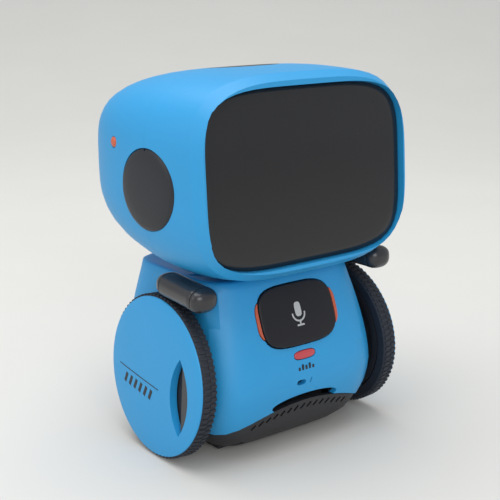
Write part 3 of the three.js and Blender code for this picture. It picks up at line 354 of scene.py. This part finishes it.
# ---------------------------------------------------------------- head
rear_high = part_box("head_rear_shell")[1]
front_low, front_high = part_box("head_front_shell")
visor_low, visor_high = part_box("visor")
HEAD_HALF = rear_high.x
HEAD_TOP = rear_high.z
HEAD_BASE = front_low.z
HEAD_SEAM = front_high.y
HEAD_BACK = rear_high.y
CROWN_SHARE = 0.483  # of the head's height, above its middle line
HEAD_MIDDLE = HEAD_TOP - (HEAD_TOP - HEAD_BASE) * CROWN_SHARE
VISOR_DROP = HEAD_MIDDLE - (visor_low.z + visor_high.z) / 2
FACE_LEAN = math.radians(4)
FACE_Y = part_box("head_bezel")[0].y + (HEAD_MIDDLE - HEAD_BASE) * math.tan(FACE_LEAN)
HEAD_DEPTH = HEAD_BACK - FACE_Y
CROWN = HEAD_TOP - HEAD_MIDDLE
BELLY = HEAD_MIDDLE - HEAD_BASE
RIM = 3.4 * MM  # slanted band round the face
RIM_IN_SIDE = 0.75 * MM
RIM_IN_HIGH = 1.6 * MM
HEAD_SQUARENESS = 3.7
VISOR_SQUARENESS = 4.6
SHELL_WALL = 1.9 * MM
SEAM_GAP = 0.03 * MM


def ease_in(share, full, start):
    """Grows from `start` at the face to 1 at the share `full` of the depth."""
    return 1 - (1 - start) * ((full - share) / full) ** 2 if share < full else 1


def round_off(share, start, power):
    """Stays 1 up to the share `start` of the depth and falls to almost nothing at the back."""
    run = min(max(0, (share - start) / (1 - start)), 0.99999)
    return (1 - run ** power) ** (1 / power)


def head_station(back):
    """One ring of the head, `back` behind its face; the rim's roll draws the first few in."""
    share = back / HEAD_DEPTH
    roll = max(0, 1 - back / RIM)
    half = HEAD_HALF * ease_in(share, 0.44, 0.9) * round_off(share, 0.44, 2.6) - RIM_IN_SIDE * roll
    top = CROWN * ease_in(share, 0.2, 0.985) * round_off(share, 0.18, 2.6) - RIM_IN_HIGH * roll
    low = BELLY * ease_in(share, 0.22, 0.935) * round_off(share, 0.22, 1.8) - RIM_IN_HIGH * roll
    lean = FACE_LEAN * (1 - share) ** 2
    middle = (0, FACE_Y + back, HEAD_MIDDLE + (top - low) / 2)
    return (middle, max(half, MM), max((top + low) / 2, MM), lean)


# Millimetres behind the face. Past the rim they are those of a head RINGS_DEPTH deep, and stretch with it.
RINGS_DEPTH = 69.75
RIM_RINGS = [0, 1.1, 2.2, 3.1, 3.4, 3.7]
HEAD_RINGS = [5, *range(8, 53, 4), 55.5, 58.5, 61, 63.5, 65.5, 67.2, 68.4, 69.2, 69.7]
back_scale = HEAD_DEPTH / (RINGS_DEPTH * MM)
rings = [head_station(back * MM) for back in RIM_RINGS]
rings += [head_station(back * MM * back_scale) for back in HEAD_RINGS]
head_form = grow("head_form", HEAD_SQUARENESS, rings, segments=18)
lid = copy_of(head_form, "lid")

head_rear = bisect(copy_of(head_form, "head_rear"), (0, HEAD_SEAM + SEAM_GAP, 0), (0, -1, 0))
finish_modifier(head_rear, "SOLIDIFY", thickness=SHELL_WALL, offset=-1)
head_front = bisect(head_form, (0, HEAD_SEAM, 0), (0, 1, 0), fill=True)
head_front.name = "head_front"

VISOR_HALF = visor_high.x
VISOR_HALF_HIGH = (visor_high.z - visor_low.z) / 2
VISOR_ROOM = 0.4 * MM
VISOR_LEDGE = 3 * MM
face_middle = (0, FACE_Y - VISOR_DROP * math.tan(FACE_LEAN), HEAD_MIDDLE - VISOR_DROP)
recess = plate("recess", VISOR_SQUARENESS, 2 * VISOR_HALF + VISOR_ROOM, 2 * VISOR_HALF_HIGH + VISOR_ROOM,
               -0.6 * MM, 2.6 * MM, face_middle, FACE_LEAN, 20)
hollow = plate("hollow", 4.4, 2 * VISOR_HALF - VISOR_LEDGE, 2 * VISOR_HALF_HIGH - VISOR_LEDGE,
               0, 30 * MM, face_middle, FACE_LEAN, 10)
carve(head_front, recess, hollow)

ear_low, ear_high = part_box("ear_cap_left")
EAR_RADIUS = (ear_high.z - ear_low.z) / 2
EAR_TOE = math.radians(5)
EAR_ROOM = 0.18 * MM
ear_middle = Vector((HEAD_HALF - 0.6 * MM, *middle_of("ear_cap_left")[1:]))


def on_ear(part):
    part.rotation_euler.z = -EAR_TOE
    part.location = ear_middle
    return settle(part)


ear_seat = on_ear(drum("ear_seat", EAR_RADIUS + EAR_ROOM, 8 * MM, (3.2 * MM, 0, 0), sides=96))
ear_seats = weld("ear_seats", ear_seat, other_side(ear_seat, "ear_seat_twin"))

pad_low, pad_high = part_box("touch_pad")
PAD_SLIM = 0.68  # depth of the touch pad as a share of its width
PAD_ROOM = 0.15 * MM
pad_at = ((pad_low.x + pad_high.x) / 2, pad_low.y + (pad_high.x - pad_low.x) * (PAD_SLIM / 2))


def pad_oval(name, sunk, room):
    """The touch pad's oval, from `sunk` under the crown to clear above it, `room` larger all round."""
    ovals = [((*pad_at, HEAD_TOP + z), pad_high.x + room, pad_high.x * PAD_SLIM + room, 0)
             for z in (-sunk, 2 * MM)]
    return grow(name, 2.4, ovals, upright=True)


pad_seat = pad_oval("pad_seat", 0.7 * MM, PAD_ROOM)
pad_form = pad_oval("touch_pad_skin", 1.3 * MM, 0)
carve(pad_form, lid, operation="INTERSECT")

neck_hole = drum("neck_hole", 9.4 * MM, 20 * MM, (0, 0, HEAD_BASE + 3 * MM), "Z")
dot_at = middle_of("side_lens_left")[1:]
dot_holes = drum("dot_holes", 1.65 * MM, 100 * MM, (0, *dot_at), sides=32)
screw_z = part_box("head_screw_1")[0].z + 1.9 * MM
screw_holes = [drum("screw_hole", 2.2 * MM, 40 * MM, (x, HEAD_SEAM + 27 * MM, screw_z), "Y", 24)
               for x in (-25 * MM, 25 * MM)]
carve(head_front, ear_seats, pad_seat, keep=True)
carve(head_rear, ear_seats, pad_seat, neck_hole, dot_holes, *screw_holes)

GROOVE_Z = HEAD_MIDDLE + 16 * MM
GROOVE_WIDTH = 0.36 * MM
grooves = []
for side in (-1, 1):
    line_at = (side * 41.3 * MM, HEAD_SEAM - 9 * MM, GROOVE_Z)
    hook_at = (side * 40.2 * MM, HEAD_SEAM - 15.3 * MM, GROOVE_Z + 1.2 * MM)
    grooves.append(bar("groove", (3 * MM, 11.2 * MM, GROOVE_WIDTH), line_at, (math.radians(-6), 0, 0)))
    grooves.append(bar("groove_hook", (3 * MM, 2.2 * MM, GROOVE_WIDTH), hook_at, (math.radians(-42), 0, 0)))
carve(head_front, *grooves)
smooth(outwards(head_front), 38)
smooth(outwards(head_rear), 38)
fit(head_front, shell_blue, "blue_shell", "head", "head_front_shell", "head_bezel")
fit(head_rear, shell_blue, "blue_shell", "head", "head_rear_shell")
fit(smooth(outwards(pad_form)), button_black, "black_plastic", "head", "touch_pad")

# How far behind the face each ring of the visor lies, in millimetres, and its share of the full size.
VISOR_RINGS = [(1.35, 0.3), (1.37, 0.6), (1.4, 0.8), (1.44, 0.9), (1.48, 0.93), (1.6, 0.95), (1.9, 0.98),
               (2.1, 0.995), (2.25, 1), (2.55, 1)]
visor_rings = [((0, y * MM, 0), VISOR_HALF * share, VISOR_HALF_HIGH * share, 0) for y, share in VISOR_RINGS]
visor = grow("visor_skin", VISOR_SQUARENESS, visor_rings, segments=20)
visor.rotation_euler.x = -FACE_LEAN
visor.location = face_middle
settle(visor)
fit(smooth(visor), visor_glass, "smoked_gloss", "head", "visor")

ear_profile = [
    (-1.2 * MM, 0), (-1.2 * MM, EAR_RADIUS), (-0.35 * MM, EAR_RADIUS), (-0.1 * MM, EAR_RADIUS - 0.25 * MM),
    (0.18 * MM, EAR_RADIUS - 1.2 * MM), (0.45 * MM, EAR_RADIUS - 4 * MM), (0.6 * MM, EAR_RADIUS * 0.35),
    (0.64 * MM, 0),
]
ear = on_ear(turned("ear_left", ear_profile))
notch = bar("notch", (4 * MM, 0.5 * MM, 1.3 * MM), ear_middle + Vector((0, 0.6 * MM, EAR_RADIUS)))
carve(ear, notch)
fit(smooth(ear), ear_grey, "black_plastic", "head", "ear_cap_left")
fit(smooth(other_side(ear, "ear_right")), ear_grey, "black_plastic", "head", "ear_cap_right")

DOT_R = 1.5 * MM
dot_profile = [(-3 * MM, 0), (-3 * MM, DOT_R), (-0.5 * MM, DOT_R), (-0.2 * MM, 1.2 * MM),
               (0, 0.6 * MM), (0, 0)]
dot = turned("side_dot_left", dot_profile, 32)
dot.location = (HEAD_HALF + 0.05 * MM, *dot_at)
settle(dot)
fit(smooth(dot), light_orange, "orange_lens", "head", "side_lens_left")
fit(smooth(other_side(dot, "side_dot_right")), light_orange, "orange_lens", "head", "side_lens_right")

# ---------------------------------------------------------------- body
body_low, body_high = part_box("body_front_shell")
body_rear_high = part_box("body_rear_shell")[1]
BODY_FRONT = body_low.y
BODY_SEAM = body_high.y
BODY_REAR = body_rear_high.y
BODY_HALF = body_rear_high.x
BODY_TOP = HEAD_BASE - 1.2 * MM
BODY_SQUARENESS = 6
# Share of the height, share of the half width, and how far front and rear are drawn in, in millimetres.
BODY_RINGS = [
    (0.03, 0.74, 11.6, 4.6), (0.055, 0.8, 8.6, 3.2), (0.085, 0.845, 6.8, 2.2), (0.11, 0.87, 5.4, 1.6),
    (0.15, 0.9, 4, 1.1), (0.19, 0.925, 2.9, 0.7), (0.235, 0.95, 1.9, 0.4), (0.28, 0.972, 1.1, 0.2),
    (0.35, 0.99, 0.3, 0), (0.42, 1, 0, 0), (0.49, 1, 0.5, 0.2), (0.56, 0.993, 1.3, 0.5),
    (0.63, 0.98, 2.3, 0.9), (0.7, 0.962, 3.4, 1.5), (0.78, 0.938, 4.8, 2.2), (0.85, 0.915, 6.2, 3),
    (0.92, 0.89, 7.7, 3.8), (0.965, 0.875, 8.6, 4.4),
]
BODY_CREST = (0.865, 9.3, 4.8)  # the same three values for the ring at the very top
# The edge of the top rolls over in rings at this share of the height, this much further in.
CREST_ROLL = ((1, 0), (1.008, 0.4 * MM), (1.01, 1.3 * MM), (1.004, 3 * MM), (1, 6 * MM))


def body_station(ring, inset=0.0):
    at, wide, front, rear = ring
    ahead = BODY_FRONT + front * MM + inset
    behind = BODY_REAR - rear * MM - inset
    return ((0, (ahead + behind) / 2, BODY_TOP * at), BODY_HALF * wide - inset, (behind - ahead) / 2, 0)


def front_at(z):
    """Where the body's front lies at a height, between its rings."""
    rows = [(BODY_TOP * ring[0], BODY_FRONT + ring[2] * MM) for ring in BODY_RINGS]
    for (low, a), (high, b) in zip(rows, rows[1:]):
        if z <= high:
            return a + (b - a) * (z - low) / (high - low)
    return rows[-1][1]


body_rings = [body_station(ring) for ring in BODY_RINGS]
body_rings += [body_station((at, *BODY_CREST), step) for at, step in CREST_ROLL]
body = grow("body", BODY_SQUARENESS, body_rings, upright=True, segments=14)
edit(body)
select_faces(body, lambda centre, normal: normal.z < -0.9 and centre.z < 3 * MM)
bpy.ops.mesh.delete(type="FACE")
done()
finish_modifier(body, "SOLIDIFY", thickness=SHELL_WALL, offset=-1)

SKIRT_Z = 15.6 * MM
SKIRT_CURVE = 56 * MM


def skirt_drum(name, radius):
    """The arc that the body's lower edge and the tray's upper edge follow."""
    return drum(name, radius, 120 * MM, (0, 0, SKIRT_Z - SKIRT_CURVE), "Y", 160)


skirt = skirt_drum("skirt", SKIRT_CURVE)
arch = drum("arch", 1, 20 * MM, (0, 0, 0), "Y", 48)
arch.scale = (12.5 * MM, 1, 2.5 * MM)
arch.location = (0, BODY_FRONT, SKIRT_Z - 0.2 * MM)
settle(arch)

BUTTON_Z = 41.3 * MM
BUTTON_LEAN = math.radians(21)
KEY_SIZE = (27.4 * MM, 18.2 * MM)
KEY_HOLE = (28 * MM, 18.8 * MM)
KEY_SQUARENESS = 3.8
TABS_SIZE = (30 * MM, 14.2 * MM)
TABS_HOLE = (30.4 * MM, 14.6 * MM)
TABS_SQUARENESS = 4
button_middle = Vector((0, front_at(BUTTON_Z), BUTTON_Z))


def on_chest(name, squareness, size, front, back, segments):
    """A flat piece in the slope of the record button."""
    return plate(name, squareness, *size, front, back, button_middle, BUTTON_LEAN, segments)


button_hole = on_chest("button_hole", KEY_SQUARENESS, KEY_HOLE, -5 * MM, 12 * MM, 12)
glow_hole = on_chest("glow_hole", TABS_SQUARENESS, TABS_HOLE, -5 * MM, 12 * MM, 10)
LENS_Z = middle_of("record_lens")[2]
lens_middle = (0, front_at(LENS_Z), LENS_Z)
lens_hole = plate("lens_hole", 3, 8.2 * MM, 2.8 * MM, -3 * MM, 8 * MM, lens_middle)
MIC_Z = middle_of("microphone")[2]
mic_middle = (-2.2 * MM, front_at(MIC_Z), MIC_Z)
mic_hole = plate("mic_hole", 3, 3.4 * MM, 1.6 * MM, -3 * MM, 8 * MM, mic_middle, segments=6)
slash_middle = (1.4 * MM, front_at(MIC_Z), MIC_Z)
slash_hole = bar("slash_hole", (0.35 * MM, 8 * MM, 1.6 * MM), slash_middle, (0, math.radians(25), 0))
neck_bore = drum("neck_bore", 9.3 * MM, 20 * MM, (0, 0, BODY_TOP), "Z")
wheel_at = Vector(JOINT_AT["left_wheel_spin"])
axle_holes = [drum("axle_hole", 2 * MM, 14 * MM, (x, wheel_at.y, wheel_at.z), "X", 32)
              for x in (-31 * MM, 31 * MM)]
carve(body, skirt, arch, button_hole, glow_hole, lens_hole, mic_hole, slash_hole, neck_bore, *axle_holes)
body_front = bisect(copy_of(body, "body_front"), (0, BODY_SEAM, 0), (0, 1, 0), fill=True)
body_rear = bisect(body, (0, BODY_SEAM + 0.1 * MM, 0), (0, -1, 0), fill=True)
body_rear.name = "body_rear"

LUG_THICK = 1.4 * MM
arm_pivot = Vector(JOINT_AT["left_arm_swing"])
lugs = []
for side in (-1, 1):
    lug_at = (side * (arm_pivot.x - 3.3 * MM), arm_pivot.y, arm_pivot.z)
    eye_at = (side * arm_pivot.x, arm_pivot.y, arm_pivot.z)
    lugs.append(bar("lug", (6.5 * MM, 5.2 * MM, LUG_THICK), lug_at))
    lugs.append(drum("lug_eye", 2.6 * MM, LUG_THICK, eye_at, "Z", 32))
carve(body_front, *lugs, operation="UNION")
fit(smooth(outwards(body_front), 40), shell_blue, "blue_shell", "chassis", "body_front_shell")
fit(smooth(outwards(body_rear), 40), shell_blue, "blue_shell", "chassis", "body_rear_shell")

# Record button, its light, its printed microphone and the small marks below it.
button = on_chest("record_key", KEY_SQUARENESS, KEY_SIZE, -0.5 * MM, 2.4 * MM, 12)
fit(smooth(soften(button, 0.45 * MM, 3)), button_black, "black_plastic", "button", "record_button")
glow = on_chest("light_tabs", TABS_SQUARENESS, TABS_SIZE, -0.1 * MM, 3 * MM, 10)
carve(glow, on_chest("key_room", KEY_SQUARENESS, KEY_HOLE, -3 * MM, 6 * MM, 12))
fit(smooth(outwards(glow)), light_orange, "orange_lens", "chassis", "button_light_ring")


def print_on(part, middle, lean, body, name, material=print_dark, slot="black_plastic"):
    """Sets a thin printed mark, drawn flat on the XZ plane, on a leaning face."""
    part.rotation_euler.x = -lean
    part.location = middle
    settle(part)
    part.name = name
    return fit(smooth(part), material, slot, body)


INK = 0.16 * MM
capsule = plate("mic_capsule", 3.4, 2.3 * MM, 4.3 * MM, -0.08 * MM, 0.2 * MM, (0, 0, 1.2 * MM))
bpy.ops.object.select_all(action="DESELECT")
bpy.ops.mesh.primitive_torus_add(major_radius=2.25 * MM, minor_radius=0.26 * MM, major_segments=40,
                                 minor_segments=8, rotation=(math.pi / 2, 0, 0))
cradle = settle(new_part("mic_cradle"))
bisect(cradle, (0, 0, 0.2 * MM), (0, 0, 1), fill=True)
cradle.scale.y = 0.3
settle(cradle)
stem = bar("mic_stem", (0.5 * MM, INK, 1.3 * MM), (0, 0, -2.8 * MM))
foot = bar("mic_foot", (2.6 * MM, INK, 0.5 * MM), (0, 0, -3.5 * MM))
pictogram = weld("mic_print", capsule, cradle, stem, foot)
outward = Vector((0, -math.cos(BUTTON_LEAN), math.sin(BUTTON_LEAN)))
print_on(pictogram, button_middle + outward * 0.52 * MM, BUTTON_LEAN, "button", "mic_print",
         print_white, "white_plastic")

glass_middle = (0, front_at(LENS_Z) + 0.1 * MM, LENS_Z)
lens = plate("record_glass", 3, 7.8 * MM, 2.5 * MM, -0.25 * MM, 1.8 * MM, glass_middle, math.radians(7))
fit(smooth(soften(lens, 0.3 * MM, 3)), lens_red, "red_lens", "chassis", "record_lens")

MARK_Z = 25.5 * MM
LEVELS = ((-2.6, 1.4), (-1.3, 2.8), (0, 2.0), (1.3, 2.8), (2.6, 1.4))  # place and height, millimetres
marks = [plate("level", 8, 0.8 * MM, tall * MM, -0.04 * MM, 0.3 * MM, (x * MM, 0, 0), segments=3)
         for x, tall in LEVELS]
levels = weld("level_marks", *marks)
print_on(levels, (0, front_at(MARK_Z) + 0.02 * MM, MARK_Z), math.radians(4), "chassis", "level_marks")

# ---------------------------------------------------------------- base tray
TRAY_IN = 0.35 * MM
TRAY_WALL = 1.7 * MM
tray_sole = ((0, (BODY_FRONT + BODY_REAR) / 2 + 3 * MM, 1.25 * MM), BODY_HALF * 0.7, 20 * MM, 0)
tray_rings = [tray_sole] + [body_station(ring, TRAY_IN) for ring in BODY_RINGS[:9]]
tray = grow("tray", BODY_SQUARENESS, tray_rings, upright=True, segments=14)
edit(tray)
select_faces(tray, lambda centre, normal: normal.z > 0.9 and centre.z > 12 * MM)
bpy.ops.mesh.delete(type="FACE")
done()
finish_modifier(tray, "SOLIDIFY", thickness=TRAY_WALL, offset=-1)
carve(tray, skirt_drum("over", SKIRT_CURVE - 0.3 * MM), operation="INTERSECT")

SLOT_PITCH = 2.5 * MM
SLOT_DROP = 2.5 * MM  # below the skirt's arc
SLOT_LEAN = math.radians(38)
slots = []
for i in range(-7, 8):
    x = i * SLOT_PITCH
    z = SKIRT_Z - SLOT_DROP - (SKIRT_CURVE - math.sqrt(SKIRT_CURVE ** 2 - x ** 2))
    slots.append(bar("slot", (0.8 * MM, 7 * MM, 2 * MM), (x, front_at(z) + 1.5 * MM, z), (0, SLOT_LEAN, 0)))
grille = weld("grille", *slots)

cover_low, cover_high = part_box("battery_cover")
bay = bar("bay", (cover_high.x - cover_low.x + 0.6 * MM, 31.2 * MM, 12 * MM),
          (0, cover_low.y + 15.3 * MM, 1 * MM))
tab = bar("tab", (6 * MM, 8 * MM, 12 * MM), (11 * MM, cover_high.y - 3.7 * MM, -3.1 * MM))
holes = []
for number in (1, 2, 3, 4):
    screw_x, screw_y, _ = middle_of("base_screw_%d" % number)
    holes.append(drum("foot_hole", 2.2 * MM, 12 * MM, (screw_x, screw_y, 0), "Z", 32))
holes.append(drum("ball_hole", 3.3 * MM, 12 * MM, (0, middle_of("tail_ball")[1], 0), "Z", 40))
knob_middle = (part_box("power_knob")[0].x + 3 * MM, middle_of("power_knob")[1], 0)
holes.append(bar("knob_hole", (7 * MM, 3.2 * MM, 12 * MM), knob_middle))
carve(tray, grille, bay, tab, *holes)
fit(smooth(outwards(tray), 35), tray_black, "black_plastic", "chassis", "base_tray")

# ---------------------------------------------------------------- wheels
CAMBER = math.asin(JOINT_AXIS["left_wheel_spin"][2])
TYRE_R = 24.2 * MM
TYRE_BORE_R = 20.6 * MM
TYRE_LIP_R = 23.4 * MM
HALF_TREAD = 2.45 * MM
TREAD_BLOCKS = 84


def on_wheel(part):
    part.rotation_euler.y = -CAMBER
    part.location = wheel_at
    return settle(part)


def both_wheels(part, name, material, slot, node=None):
    """Finishes a left wheel's piece and makes its twin on the right wheel."""
    part.name = name + "_left"
    fit(smooth(part), material, slot, "left_wheel", *([node + "_left"] if node else []))
    twin = other_side(part, name + "_right")
    fit(smooth(twin), material, slot, "right_wheel", *([node + "_right"] if node else []))


tread_profile = [
    (-HALF_TREAD, TYRE_BORE_R), (-HALF_TREAD, TYRE_R - 0.9 * MM),
    (-HALF_TREAD + 0.4 * MM, TYRE_R - 0.35 * MM), (0, TYRE_R - 0.27 * MM),
    (HALF_TREAD - 0.9 * MM, TYRE_R - 0.35 * MM), (HALF_TREAD - 0.3 * MM, TYRE_R - 0.7 * MM),
    (HALF_TREAD - 0.3 * MM, TYRE_LIP_R), (0.6 * MM, TYRE_LIP_R),
    (0.6 * MM, TYRE_BORE_R), (-HALF_TREAD, TYRE_BORE_R),
]
tread = turned("tread", tread_profile, 120)
block = bar("block", (1.95 * MM, 0.95 * MM, 0.8 * MM), (-1.2 * MM, 0, TYRE_R - 0.4 * MM))
soften(block, 0.14 * MM)
twin_block = copy_of(block, "twin_block")
twin_block.location.x = 2.1 * MM
twin_block.rotation_euler.x = math.pi / TREAD_BLOCKS
settle(twin_block)
blocks = weld("blocks", block, twin_block)
edit(blocks)
bpy.ops.mesh.select_all(action="SELECT")
bpy.ops.mesh.spin(steps=TREAD_BLOCKS, angle=2 * math.pi, dupli=True, center=(0, 0, 0), axis=(1, 0, 0))
bpy.ops.mesh.select_all(action="SELECT")
bpy.ops.mesh.remove_doubles(threshold=1e-6)
done()
tyre = on_wheel(weld("tyre", tread, blocks))
both_wheels(outwards(tyre), "tyre_skin", tyre_rubber, "tyre_rubber", "tyre")

HUB_R = 23.55 * MM
hub_profile = [
    (0.85 * MM, 0), (0.85 * MM, HUB_R - 0.4 * MM), (1.9 * MM, HUB_R - 0.1 * MM), (2.25 * MM, HUB_R),
    (2.5 * MM, HUB_R - 0.15 * MM), (2.62 * MM, HUB_R - 0.6 * MM), (2.9 * MM, HUB_R * 0.85),
    (3.12 * MM, HUB_R * 0.65), (3.27 * MM, HUB_R * 0.4), (3.33 * MM, HUB_R * 0.2), (3.34 * MM, 0),
]
hub = turned("hub", hub_profile, 128)

# A plain line and six slanted bars, cut to a skin that lies just over the hub.
dashes = [bar("dash", (6 * MM, 21.6 * MM, 0.32 * MM), (3 * MM, 7.7 * MM, -2 * MM), (math.radians(6), 0, 0))]
for i in range(6):
    hatch_at = (3 * MM, (14.6 - i * 2.7) * MM, (-4.4 - 0.28 * i) * MM)
    dashes.append(bar("hatch", (6 * MM, 1.2 * MM, 3.3 * MM), hatch_at, (math.radians(24), 0, 0)))
hatch = weld("hatch", *dashes)
print_skin = copy_of(hub, "print_skin")
print_skin.location.x = 0.04 * MM
settle(print_skin)
carve(hatch, print_skin, operation="INTERSECT")
bisect(hatch, (2.2 * MM, 0, 0), (-1, 0, 0), fill=True)

# The hub's lens-shaped opening: half is a ramp down from the face, half is deep and holds a dark insert.
LENS_Y = -13.2 * MM
LENS_DROP = -2.5 * MM
LENS_LONG = 11.5 * MM
LENS_WIDE = 4.2 * MM
arc_radius = (LENS_LONG ** 2 + LENS_WIDE ** 2) / (2 * LENS_WIDE)


def lens_cutter(name, depth, half):
    """Two crossed drums leave the lens outline; `half` 1 keeps its outer side, -1 the hub's side."""
    middle_x = depth + 4 * MM
    near = drum(name, arc_radius, 8 * MM, (middle_x, LENS_Y - arc_radius + LENS_WIDE, LENS_DROP), "X", 256)
    far = drum("far", arc_radius, 9 * MM, (middle_x, LENS_Y + arc_radius - LENS_WIDE, LENS_DROP), "X", 256)
    carve(near, far, operation="INTERSECT")
    return bisect(near, (0, LENS_Y, 0), (0, half, 0), fill=True)


deep = lens_cutter("deep", 1.2 * MM, 1)
ramp = lens_cutter("ramp", 0, -1)
slope = bar("slope", (12 * MM, 20 * MM, 40 * MM), (6 * MM, 0, 0))
slope.rotation_euler.z = math.atan2(1.9 * MM, LENS_WIDE)
slope.location = (1.35 * MM, LENS_Y, LENS_DROP)
settle(slope)
carve(ramp, slope, operation="INTERSECT")
carve(hub, deep, ramp)
insert = lens_cutter("insert", 1.25 * MM, 1)
bisect(insert, (2.05 * MM, 0, 0), (1, 0, 0), fill=True)
both_wheels(on_wheel(outwards(insert)), "hub_insert", arm_black, "black_plastic")
both_wheels(on_wheel(outwards(hub)), "hub", shell_blue, "blue_shell", "hub_cap")
both_wheels(outwards(on_wheel(hatch)), "hub_print", print_dark, "black_plastic")

# ---------------------------------------------------------------- arms
ARM_HALF_WIDE = 4.2 * MM
ARM_HALF_HIGH = 3.4 * MM
ARM_RISE = 1.3 * MM  # the arm's middle line above its pivot
ARM_STEPS_REACH = 20.5  # how far the steps below run in front of the pivot
# Place along the arm and share of its full section, from behind the pivot to the tip.
SLEEVE_STEPS = [(-3.8, 0.3), (-3.6, 0.5), (-3.1, 0.72), (-2.2, 0.88), (-1, 0.97), (-0.6, 0.97), (-0.5, 0.93),
                (-0.2, 0.93), (-0.1, 0.99), (2, 1), (8, 0.985), (14.5, 1.0), (16.4, 1.03), (16.7, 1.0)]
TIP_STEPS = [(16.85, 0.96), (16.95, 1.0), (17.3, 1.03), (18, 1.0), (18.9, 0.92), (19.6, 0.78), (20.1, 0.6),
             (20.4, 0.42), (20.5, 0.25)]


def arm_form(name, steps, reach, dip, pivot):
    stations = [((0, -run * reach / ARM_STEPS_REACH, 0), ARM_HALF_WIDE * share, ARM_HALF_HIGH * share, 0)
                for run, share in steps]
    part = grow(name, 2.5, stations[::-1], segments=8)
    part.rotation_euler.x = dip
    part.location = pivot
    return outwards(settle(part))


def make_arm(side, sign, dip):
    """A sleeve forked over its lug, with its pin and a moulding ridge, and a rounded tip."""
    reach = arm_pivot.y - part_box("hand_" + side)[0].y
    pivot = Vector((sign * arm_pivot.x, arm_pivot.y, arm_pivot.z + ARM_RISE))
    sleeve = arm_form("arm_sleeve_" + side, SLEEVE_STEPS, reach, dip, pivot)
    tip = arm_form("arm_tip_" + side, TIP_STEPS, reach, dip, pivot)
    fork_middle = (pivot.x - sign * 3 * MM, pivot.y + 3 * MM, arm_pivot.z)
    carve(sleeve, bar("fork", (12 * MM, 12 * MM, 2 * MM), fork_middle))
    pin = drum("pin", 1.3 * MM, 3.2 * MM, (pivot.x, pivot.y, arm_pivot.z), "Z", 24)
    carve(sleeve, pin, operation="UNION")
    ridge_run = reach * 0.42
    ridge_middle = pivot + Vector((-3.4 * MM, -ridge_run, -2 * MM - ridge_run * math.sin(dip)))
    ridge = bar("ridge", (0.22 * MM, reach * 0.62, 0.22 * MM), ridge_middle, (dip, 0, 0))
    carve(sleeve, ridge, operation="UNION")
    fit(smooth(outwards(sleeve), 40), arm_black, "black_plastic", side + "_arm", "arm_" + side)
    fit(smooth(tip, 40), arm_black, "smoked_gloss", side + "_arm", "hand_" + side)


make_arm("left", 1, math.radians(-2))
make_arm("right", -1, math.radians(3.5))

# ---------------------------------------------------------------- stage, light and camera
bpy.ops.object.select_all(action="DESELECT")
bpy.ops.mesh.primitive_plane_add(size=3.6, location=(0, 0, 0))
floor = new_part("floor")
edit(floor)
bpy.ops.mesh.select_mode(type="EDGE")
sheet = bmesh.from_edit_mesh(floor.data)
bpy.ops.mesh.select_all(action="DESELECT")
for edge in sheet.edges:
    edge.select_set(all(corner.co.y > 0 for corner in edge.verts))
bmesh.update_edit_mesh(floor.data)
bpy.ops.mesh.extrude_region_move(TRANSFORM_OT_translate={"value": (0, 0, 3)})
done()
settle(floor)
finish_modifier(floor, "BEVEL", width=1.3, segments=32, limit_method="ANGLE", angle_limit=math.radians(40))
floor.rotation_euler.z = math.radians(-37)
settle(floor)
smooth(floor, 60)
floor.data.materials.append(finish("paper", (0.64, 0.633, 0.607), 0.9, 0.01, bump=0.0, specular=0.1))

world = bpy.data.worlds.new("studio")
bpy.context.scene.world = world
world.use_nodes = True
sky = world.node_tree.nodes["Background"]
sky.inputs["Color"].default_value = (0.8, 0.82, 0.84, 1)
sky.inputs["Strength"].default_value = 0.72


def soft_box(name, place, aim, size, power):
    lamp = bpy.data.lights.new(name, "AREA")
    lamp.shape = "RECTANGLE"
    lamp.size, lamp.size_y = size
    lamp.energy = power
    holder = bpy.data.objects.new(name, lamp)
    bpy.context.collection.objects.link(holder)
    holder.location = place
    holder.rotation_euler = (Vector(aim) - Vector(place)).to_track_quat("-Z", "Y").to_euler()


soft_box("overhead", (-0.1, 0.1, 1.0), (0, 0, 0.05), (1.2, 1.0), 9.5)
soft_box("left", (-0.9, 0.2, 0.45), (0, 0, 0.06), (0.5, 0.6), 1.1)
soft_box("front", (-0.5, -1.0, 0.5), (0, 0, 0.04), (0.7, 0.5), 4)

CAMERA_AT = (-0.1930, -0.2552, 0.13865)
CAMERA_AIM = (0, -0.0064, 0.0557)
camera = bpy.data.cameras.new("camera")
camera.lens = 76.7
camera.sensor_width = 36
viewer = bpy.data.objects.new("camera", camera)
bpy.context.collection.objects.link(viewer)
viewer.location = CAMERA_AT
viewer.rotation_euler = (Vector(CAMERA_AIM) - viewer.location).to_track_quat("-Z", "Y").to_euler()
bpy.context.scene.camera = viewer
bpy.context.scene.view_settings.view_transform = "Standard"
